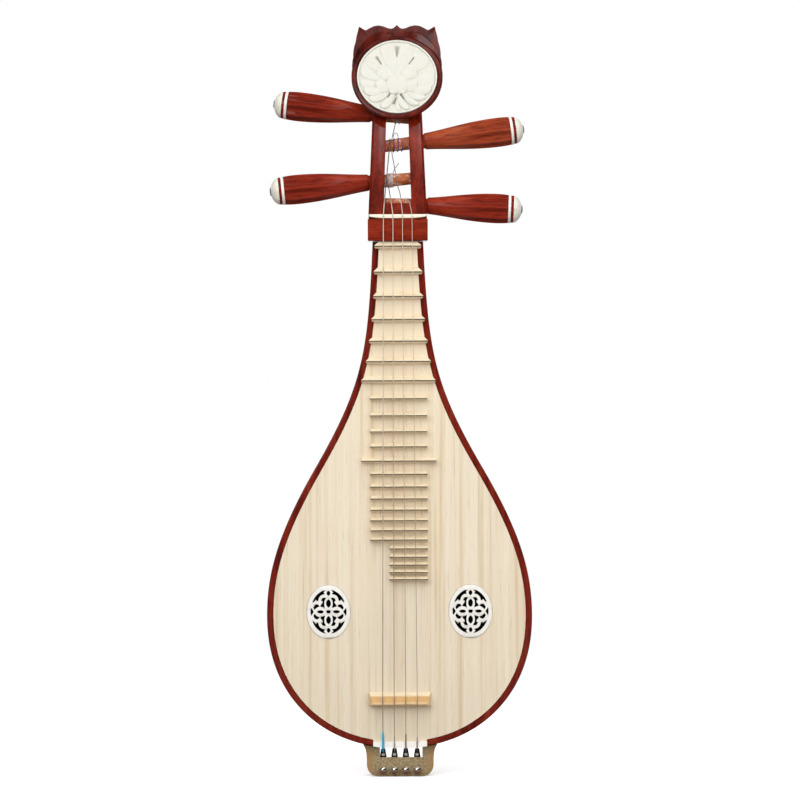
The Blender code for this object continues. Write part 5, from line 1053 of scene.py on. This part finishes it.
# Tailpiece: a housing of brown horn, slightly see-through, that is screwed to
# the body's end.  Its window shows the four levers, and its lower wall
# carries their thumbscrews.
def brown_horn():
    """Horn: smoky brown and mottled, more amber towards its thin sides, and painted darker near the body as the shadow
    under its rim.
    """
    material, tree, shader = start_material("horn_brown", 0.30)
    place = add(tree, "ShaderNodeTexCoord").outputs["Object"]
    cloud = add(tree, "ShaderNodeTexNoise", None, Vector=place, Scale=1 / (7 * MM), Detail=4.0, Distortion=0.4)
    smoke = add(tree, "ShaderNodeMix", {"data_type": "RGBA"}, i0=cloud, i6=linear("#84704f"), i7=linear("#a9936c"))
    across = add(tree, "ShaderNodeSeparateXYZ", None, i0=place)
    side = add(tree, "ShaderNodeMath", {"operation": "ABSOLUTE"}, i0=across.outputs["X"])
    side = add(tree, "ShaderNodeMapRange", None, Value=side, From_Min=20 * MM, From_Max=29 * MM, To_Max=0.8)
    amber = add(tree, "ShaderNodeMix", {"data_type": "RGBA"}, i0=side, i6=smoke.outputs[2], i7=linear("#a8834f"))
    fleck = add(tree, "ShaderNodeTexNoise", None, Vector=place, Scale=1 / (1.6 * MM), Detail=4.0, Roughness=0.75)
    clear = add(tree, "ShaderNodeMapRange", None, Value=side, From_Max=0.6, To_Min=1.0, To_Max=0.2)
    pale = add(tree, "ShaderNodeMapRange", None, Value=fleck, From_Min=0.50, From_Max=0.66, To_Max=0.8)
    pale = add(tree, "ShaderNodeMath", {"operation": "MULTIPLY"}, i0=pale, i1=clear)
    flecked = add(tree, "ShaderNodeMix", {"data_type": "RGBA"}, i0=pale, i6=amber.outputs[2], i7=linear("#cbbfa3"))
    sunk = add(tree, "ShaderNodeMapRange", None, Value=fleck, From_Min=0.48, From_Max=0.36, To_Max=0.6)
    sunk = add(tree, "ShaderNodeMath", {"operation": "MULTIPLY"}, i0=sunk, i1=clear)
    flecked = add(tree, "ShaderNodeMix", {"data_type": "RGBA"}, i0=sunk, i6=flecked.outputs[2], i7=linear("#665842"))
    # Painted shadow: darker towards the top, under the body's rim.
    painted_shadow_at_body = add(tree, "ShaderNodeMapRange", None, Value=across.outputs["Z"], From_Min=17 * MM, From_Max=29 * MM, To_Max=0.9)
    flecked = add(tree, "ShaderNodeMix", {"data_type": "RGBA"}, i0=painted_shadow_at_body, i6=flecked.outputs[2], i7=linear("#433a2b"))
    foot = add(tree, "ShaderNodeMapRange", None, Value=across.outputs["Z"], From_Min=6 * MM, From_Max=1 * MM, To_Max=0.45)
    flecked = add(tree, "ShaderNodeMix", {"data_type": "RGBA"}, i0=foot, i6=flecked.outputs[2], i7=linear("#6b4f2f"))
    tree.links.new(flecked.outputs[2], shader.inputs["Base Color"])
    relief = add(tree, "ShaderNodeBump", None, Height=fleck, Distance=0.03 * MM, Strength=0.35)
    tree.links.new(relief.outputs[0], shader.inputs["Normal"])
    shader.inputs["Subsurface Weight"].default_value = 0.15
    shader.inputs["Subsurface Radius"].default_value = (4 * MM, 2.5 * MM, 1.2 * MM)
    return material


WINDOW_SILL_Z = 16.4 * MM


def lower_back_wall(places):
    """The back wall's top under the window, cut down so that light shows over the sill."""
    back = (np.abs(places[:, 2] - WINDOW_SILL_Z) < 0.1 * MM) & (places[:, 1] > 14.0 * MM)
    return places - back[:, None] * np.array((0.0, 0.0, 3.0 * MM))


tail = eased_copy("tailpiece", "tailpiece_eased", 0.7 * MM, shift=lower_back_wall)
place_piece(tail, brown_horn(), "body", "horn", "tailpiece", flat=True)


# Tuner levers: small forked bell cranks of blackened steel, filed by hand,
# so bare metal shows faintly through on them.
def blackened_steel():
    """Gun-black steel with worn grey specks a quarter of a millimetre across."""
    material, tree, shader = start_material("steel_blackened", 0.40, 0.85)
    place = add(tree, "ShaderNodeTexCoord").outputs["Object"]
    wear = add(tree, "ShaderNodeTexNoise", None, Vector=place, Scale=1 / (1.4 * MM), Detail=5.0, Roughness=0.7)
    share = add(tree, "ShaderNodeMapRange", None, Value=wear, From_Min=0.52, From_Max=0.75)
    colour = add(tree, "ShaderNodeMix", {"data_type": "RGBA"}, i0=share, i6=linear("#1b1b1d"), i7=linear("#77736d"))
    tree.links.new(colour.outputs[2], shader.inputs["Base Color"])
    relief = add(tree, "ShaderNodeBump", None, Height=wear, Distance=0.04 * MM, Strength=0.4)
    tree.links.new(relief.outputs[0], shader.inputs["Normal"])
    return material


lever_steel = blackened_steel()
for number in range(1, STRING_COUNT + 1):
    lever = eased_copy("tuner_lever_%d" % number, "tuner_lever_%d_filed" % number, 0.22 * MM)
    place_piece(lever, lever_steel, "fine_tuner_lever_%d" % number, "black_steel", "tuner_lever_%d" % number, flat=True)


# Thumbscrews: turned brass with a domed and knurled head, chrome plated.  Their
# lower side is painted warm brown, a painted reflection of the horn round them.
TUNER_SPACING = 9.8 * MM
SCREW_Z = 5.7 * MM


def plated_chrome():
    """Chrome: bright, with fine turning marks that blur its reflections a little, and a painted brown reflection on its
    lower side.
    """
    material, tree, shader = start_material("chrome_turned", 0.22, 1.0)
    place = add(tree, "ShaderNodeTexCoord").outputs["Object"]
    mark = add(tree, "ShaderNodeTexNoise", None, Vector=place, Scale=1 / (0.5 * MM), Detail=3.0)
    tone = add(tree, "ShaderNodeMix", {"data_type": "RGBA"}, i0=mark, i6=linear("#c9bbab"), i7=linear("#f3efe8"))
    height = add(tree, "ShaderNodeSeparateXYZ", None, i0=place)
    # Painted reflection: the lower side is drawn warm brown.
    painted_reflection = add(tree, "ShaderNodeMapRange", None, Value=height.outputs["Z"], From_Min=SCREW_Z + 0.2 * MM, From_Max=SCREW_Z - 1.6 * MM, To_Max=0.85)
    brown_reflection = add(tree, "ShaderNodeMix", {"data_type": "RGBA"}, i0=painted_reflection, i6=tone.outputs[2], i7=linear("#b5713f"))
    tree.links.new(brown_reflection.outputs[2], shader.inputs["Base Color"])
    blur = add(tree, "ShaderNodeMapRange", None, Value=mark, To_Min=0.16, To_Max=0.32)
    tree.links.new(blur.outputs[0], shader.inputs["Roughness"])
    return material


def thumbscrew(name, x):
    """A knurled head and its shank, turned on an axis that points into the housing.

    The knurl lifts the head's radius by the size of a sine of twelve waves.
    """
    turn = np.linspace(0.0, 2 * math.pi, 193)[None, :]
    profile = np.array([
        (-8.9, 0.0, 0), (-8.85, 0.6, 0), (-8.7, 1.2, 0), (-8.45, 1.75, 0), (-8.1, 2.25, 0.1), (-7.8, 2.6, 0.3), (-7.4, 3.05, 1),
        (-4.2, 3.05, 1), (-3.7, 2.6, 0.2),
        (-3.32, 2.4, 0), (-3.32, 1.5, 0), (9.7, 1.5, 0), (10.2, 0.9, 0), (10.2, 0.0, 0)])
    depth, radius, knurl = (column[:, None] for column in profile.T)
    reach = radius * MM * (1.0 + 0.055 * knurl * np.abs(np.sin(12 * turn)))
    points = np.stack(np.broadcast_arrays(x + reach * np.cos(turn), depth * MM, SCREW_Z + reach * np.sin(turn)), axis=-1)
    return grid_mesh(name, points, crease=50.0)


chrome = plated_chrome()
for number in range(1, STRING_COUNT + 1):
    screw = thumbscrew("tuner_screw_%d_knurled" % number, (number - 2.5) * TUNER_SPACING)
    place_piece(screw, chrome, "fine_tuner_screw_%d" % number, "chrome", "tuner_screw_%d" % number)


# Strings: steel cores wound with fine steel wire, each held by its ball
# under a lever and led over saddle, bridge and nut into the pegbox.  The
# makers' silk wraps them below the bridge, and loose ends curl at the pegs.
STRING_RADII = [0.45 * MM, 0.40 * MM, 0.35 * MM, 0.30 * MM]
NUT_SPACING = 8.24 * MM
BALL_RADIUS = 1.6 * MM
SADDLE_PROUD = 3.6 * MM
FRONT_PLATE_HEIGHT = 10.0 * MM


def tube_mesh(name, path, radius, sides=10, pitch=0.0):
    """A round tube along a path, its ends drawn to a point.

    Each ring lies square to the path: one arm is the path's direction crossed
    with a fixed direction, and the other the direction crossed with that arm.
    """
    path = np.asarray(path, dtype=float)
    along = np.gradient(path, axis=0)
    along /= np.linalg.norm(along, axis=1)[:, None]
    fixed = np.where(np.abs(along[:, :1]) < 0.9, np.array([[1.0, 0.0, 0.0]]), np.array([[0.0, 1.0, 0.0]]))
    arm = np.cross(along, fixed)
    arm /= np.linalg.norm(arm, axis=1)[:, None]
    other = np.cross(along, arm)
    turn = np.linspace(0.0, 2 * math.pi, sides + 1)
    radius = np.broadcast_to(np.asarray(radius, dtype=float), (len(path),))
    ring = arm[:, None] * np.cos(turn)[None, :, None] + other[:, None] * np.sin(turn)[None, :, None]
    points = path[:, None] + ring * radius[:, None, None]
    points = np.concatenate([np.broadcast_to(path[:1, None], points[:1].shape), points, np.broadcast_to(path[-1:, None], points[:1].shape)])
    run = np.concatenate([[0.0], np.cumsum(np.linalg.norm(np.diff(path, axis=0), axis=1))])
    run = np.concatenate([run[:1], run, run[-1:]])
    grain = np.stack(np.broadcast_arrays(run[:, None] + 0 * turn, 0 * run[:, None] + turn, 0.0 * run[:, None] + 0 * turn), axis=-1)
    return grid_mesh(name, points, grain=grain, crease=60.0)


def eased_path(corners, rounds=3):
    """A path with its corners cut: each round keeps the quarter points of every stretch."""
    path = np.asarray(corners, dtype=float)
    for _ in range(rounds):
        near = 0.75 * path[:-1] + 0.25 * path[1:]
        far = 0.25 * path[:-1] + 0.75 * path[1:]
        path = np.concatenate([path[:1], np.stack([near, far], axis=1).reshape(-1, 3), path[-1:]])
    return path


def wound_wire(name, light, dark, pitch, roughness, metallic, painted_reflection=0.0):
    """Wire or silk wound round a core: a bright and a dark line to each turn, painted light on each turn's round back
    and painted shade between the turns.

    Its last argument is how much paler it is painted towards the nut, as a
    painted highlight; past the nut it is drawn darker.
    """
    material, tree, shader = start_material(name, roughness, metallic)
    place = add(tree, "ShaderNodeAttribute", {"attribute_name": "grain"})
    part = add(tree, "ShaderNodeSeparateXYZ", None, i0=place.outputs["Vector"])
    phase = add(tree, "ShaderNodeMath", {"operation": "MULTIPLY"}, i0=part.outputs["X"], i1=2 * math.pi / pitch)
    phase = add(tree, "ShaderNodeMath", {"operation": "ADD"}, i0=phase, i1=part.outputs["Y"])
    wave = add(tree, "ShaderNodeMath", {"operation": "SINE"}, i0=phase)
    share = add(tree, "ShaderNodeMapRange", None, Value=wave, From_Min=-1.0)
    # Painted light and shade: each turn's back is drawn bright, the groove between turns dark.
    tone = add(tree, "ShaderNodeMix", {"data_type": "RGBA"}, i0=share, i6=linear(dark), i7=linear(light))
    height = add(tree, "ShaderNodeSeparateXYZ", None, i0=add(tree, "ShaderNodeTexCoord").outputs["Object"])
    # Painted highlight: paler towards the nut.
    painted_highlight_share = add(tree, "ShaderNodeMapRange", None, Value=height.outputs["Z"], From_Min=120 * MM, From_Max=400 * MM, To_Max=painted_reflection)
    tone = add(tree, "ShaderNodeMix", {"data_type": "RGBA"}, i0=painted_highlight_share, i6=tone.outputs[2], i7=linear("#fbeee2"))
    if painted_reflection:
        darker_past_nut = add(tree, "ShaderNodeMapRange", None, Value=height.outputs["Z"], From_Min=NUT_Z + 10 * MM, From_Max=NUT_Z + 18 * MM, To_Max=0.9)
        tone = add(tree, "ShaderNodeMix", {"data_type": "RGBA"}, i0=darker_past_nut, i6=tone.outputs[2], i7=linear("#55504d"))
    tree.links.new(tone.outputs[2], shader.inputs["Base Color"])
    relief = add(tree, "ShaderNodeBump", None, Height=share, Distance=0.06 * MM, Strength=0.5)
    tree.links.new(relief.outputs[0], shader.inputs["Normal"])
    return material


wound_steel = wound_wire("steel_wound", "#cdb9a3", "#77634f", 0.6 * MM, 0.42, 0.3, painted_reflection=0.6)
nickel, nickel_tree, shader = start_material("nickel_ball", 0.30, 0.45)
grain = add(nickel_tree, "ShaderNodeTexNoise", None, Vector=add(nickel_tree, "ShaderNodeTexCoord").outputs["Object"], Scale=1 / (0.6 * MM))
tone = add(nickel_tree, "ShaderNodeMix", {"data_type": "RGBA"}, i0=grain, i6=linear("#f4f0e8"), i7=linear("#c9c2b6"))
nickel_tree.links.new(tone.outputs[2], shader.inputs["Base Color"])
blue_steel = wound_wire("steel_blued", "#8b989b", "#3f4c50", 0.5 * MM, 0.38, 0.6)
grey_silk = wound_wire("silk_grey", "#a9a18c", "#7d7662", 0.5 * MM, 0.6, 0.0)
cyan_silk = wound_wire("silk_cyan", "#4cc0ea", "#1f93c8", 0.5 * MM, 0.55, 0.0)
brown_silk = wound_wire("silk_brown", "#8f7a72", "#584640", 0.5 * MM, 0.6, 0.0)
purple_silk = wound_wire("silk_purple", "#8e5f93", "#5b3a63", 0.5 * MM, 0.6, 0.0)
pale_silk = wound_wire("silk_pale", "#ecdcd8", "#c4a6a6", 0.5 * MM, 0.65, 0.0)

# For each peg: where its first turn lies across the pegbox, the turns, their
# spacing, and their finish.
windings = {
    "peg_1": (-6.5 * MM, 3, 3.6 * MM, purple_silk), "peg_2": (-9.4 * MM, 6, 0.95 * MM, pale_silk),
    "peg_3": (-1.6 * MM, 2, 2.9 * MM, blue_steel), "peg_4": (9.6 * MM, 3, -1.4 * MM, pale_silk)}

# Silk at the strings' lower ends: its finish, how high it reaches, its radius
# and the length of its taper.
silks = [
    (cyan_silk, 40.6 * MM, 1.10 * MM, 6.0 * MM), (grey_silk, 36.0 * MM, 0.50 * MM, 2.0 * MM),
    (brown_silk, 37.8 * MM, 0.62 * MM, 2.0 * MM), (brown_silk, 34.8 * MM, 0.48 * MM, 2.5 * MM)]
LEVER_SLOT = 0.88 * MM
# The third string is slack in the pegbox and bends past the shafts that it
# crosses: how far it is off its straight way at a height in the pegbox.
slack = {2: (
    (0, 0.0), (19, -0.8), (29, -3.3), (36, -3.4), (45, -4.2), (54, -5.2), (61, -5.7), (72, -4.4), (77, -3.1), (83, -1.2), (97, 0.0))}


def shaft_radius(peg, along):
    """The tapered shaft's radius at a place along the peg's axis."""
    return (4.9 + 0.9 * (along + peg["cheek"]) / (2 * peg["cheek"])) * MM


def outline_end(across):
    """Height of the body's lower end at a distance from the centre line."""
    line, _ = body_outline(190)
    return float(np.interp(across, line[:80, 0], line[:80, 1]))


for index, (name, peg) in enumerate(pegs.items()):
    number = index + 1
    wire = STRING_RADII[index]
    lever = "fine_tuner_lever_%d" % number
    body = "tuning_peg_%d" % number
    tail_x, bridge_x, nut_x = ((index - 1.5) * spacing for spacing in (TUNER_SPACING, BRIDGE_SPACING, NUT_SPACING))
    bend = 0.8 * MM + 0.3 * MM + wire
    corner = (0.8 * MM - SADDLE_PROUD, outline_end(abs(tail_x) - wire) + 0.8 * MM)
    ball = np.array((tail_x, 2.9 * MM, 18.3 * MM))
    route = [ball]
    route += [(tail_x, corner[0] - bend * math.cos(t), corner[1] - bend * math.sin(t)) for t in np.radians([81, 66, 51, 36, 21, 8])]
    first, turns, pitch, finish = windings[name]
    along = peg["side"] * first
    lay = shaft_radius(peg, along) + 0.45 * MM + wire
    across = first * math.cos(peg["tilt"])
    peg_height = peg["height"] + along * math.sin(peg["tilt"])
    edge_share = FRONT_PLATE_HEIGHT / peg_height
    edge = np.array((nut_x + (across - nut_x) * edge_share, -0.3 * MM - 1.2 * wire, FRONT_PLATE_HEIGHT + 0.5 * MM))
    reach = np.array((PEG_DEPTH, peg_height)) - edge[1:]
    away = np.linalg.norm(reach)
    slope = math.atan2(reach[0], reach[1]) - math.asin(lay / away)
    run = math.sqrt(away ** 2 - lay ** 2)
    end = (across, edge[1] + run * math.sin(slope), edge[2] + run * math.cos(slope))
    speaking = [
        (tail_x, corner[0] - bend, corner[1] + 0.3 * MM), (tail_x, corner[0] - bend, 28.6 * MM),
        (bridge_x, -11.5 * MM, BRIDGE_Z - 1.1 * MM), (bridge_x, -11.5 * MM, BRIDGE_Z + 1.1 * MM),
        (nut_x, -8.5 * MM, NUT_Z - 1.0 * MM), (nut_x, -8.5 * MM, NUT_Z + 1.0 * MM), leaning(*edge), leaning(*end)]
    route = np.array([tuple(point) for point in route + speaking])
    steps = np.concatenate([np.linspace(a, b, 24, endpoint=False) for a, b in zip(route[:-1], route[1:])] + [route[-1:]])
    if index in slack:
        height, aside = (np.array(column) * MM for column in zip(*slack[index]))
        above_nut = (steps[:, 2] - PEGBOX_FOOT_Z) / math.cos(LEAN)
        steps[:, 0] += np.interp(above_nut, height, aside, left=0.0, right=0.0)
    string = place_piece(tube_mesh("string_%d_wound" % number, steps, wire), wound_steel, None, "string_steel", "string_%d" % number)
    finish_end, top, thick, taper = silks[index]
    lower = steps[(steps[:, 2] < top) & (np.arange(len(steps)) > 12)]
    room = np.where(lower[:, 2] > 24.5 * MM, thick, min(thick, LEVER_SLOT))
    swell = wire + 0.02 * MM + np.maximum(room - wire, 0.0) * np.clip((top - lower[:, 2]) / taper, 0.0, 1.0)
    silk = place_piece(tube_mesh("string_%d_silk" % number, lower, swell), finish_end, None, "string_steel")
    for piece in (string, silk):
        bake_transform(piece)
    t = np.linspace(0.0, math.pi, 17)[:, None]
    u = np.linspace(0.0, 2 * math.pi, 25)[None, :]
    drum = np.stack(np.broadcast_arrays(
        ball[0] + BALL_RADIUS * np.cos(t) + 0 * u, ball[1] + BALL_RADIUS * np.sin(t) ** 0.6 * np.cos(u),
        ball[2] + BALL_RADIUS * np.sin(t) ** 0.6 * np.sin(u)), axis=-1)
    place_piece(grid_mesh("string_%d_ball" % number, drum), nickel, lever, "string_steel")

    turn = np.linspace(0.0, 2 * math.pi * turns, 36 * turns + 1)
    helix_along = peg["side"] * first + peg["side"] * pitch * turn / (2 * math.pi)
    radius = shaft_radius(peg, helix_along) + 0.1 * MM + wire
    wrap = on_peg(peg, helix_along, radius, peg["side"] * turn)
    place_piece(tube_mesh("string_%d_turns" % number, wrap, wire), finish, body, "string_steel", "string_%d_winding" % number)

# Loose ends: the first string's end stands up in a loop over its shaft, and
# the second's sticks out past its last turn.
for name, body, corners in (
        ("string_1_end", "tuning_peg_1", ((-3.4, 6.6, 75.3), (-3.2, 5.6, 77.6), (-1.6, 5.4, 79.2), (0.2, 5.8, 78.0), (0.6, 7.4, 76.2))),
        ("string_2_end", "tuning_peg_2", ((-3.6, 6.4, 40.6), (-3.2, 5.4, 43.4), (-1.4, 5.2, 46.4), (1.2, 5.4, 50.0)))):
    corners = np.array(corners) * MM
    way = eased_path(leaning(corners[:, 0], corners[:, 1], corners[:, 2]))
    place_piece(tube_mesh(name, way, 0.28 * MM), blue_steel, body, "string_steel")
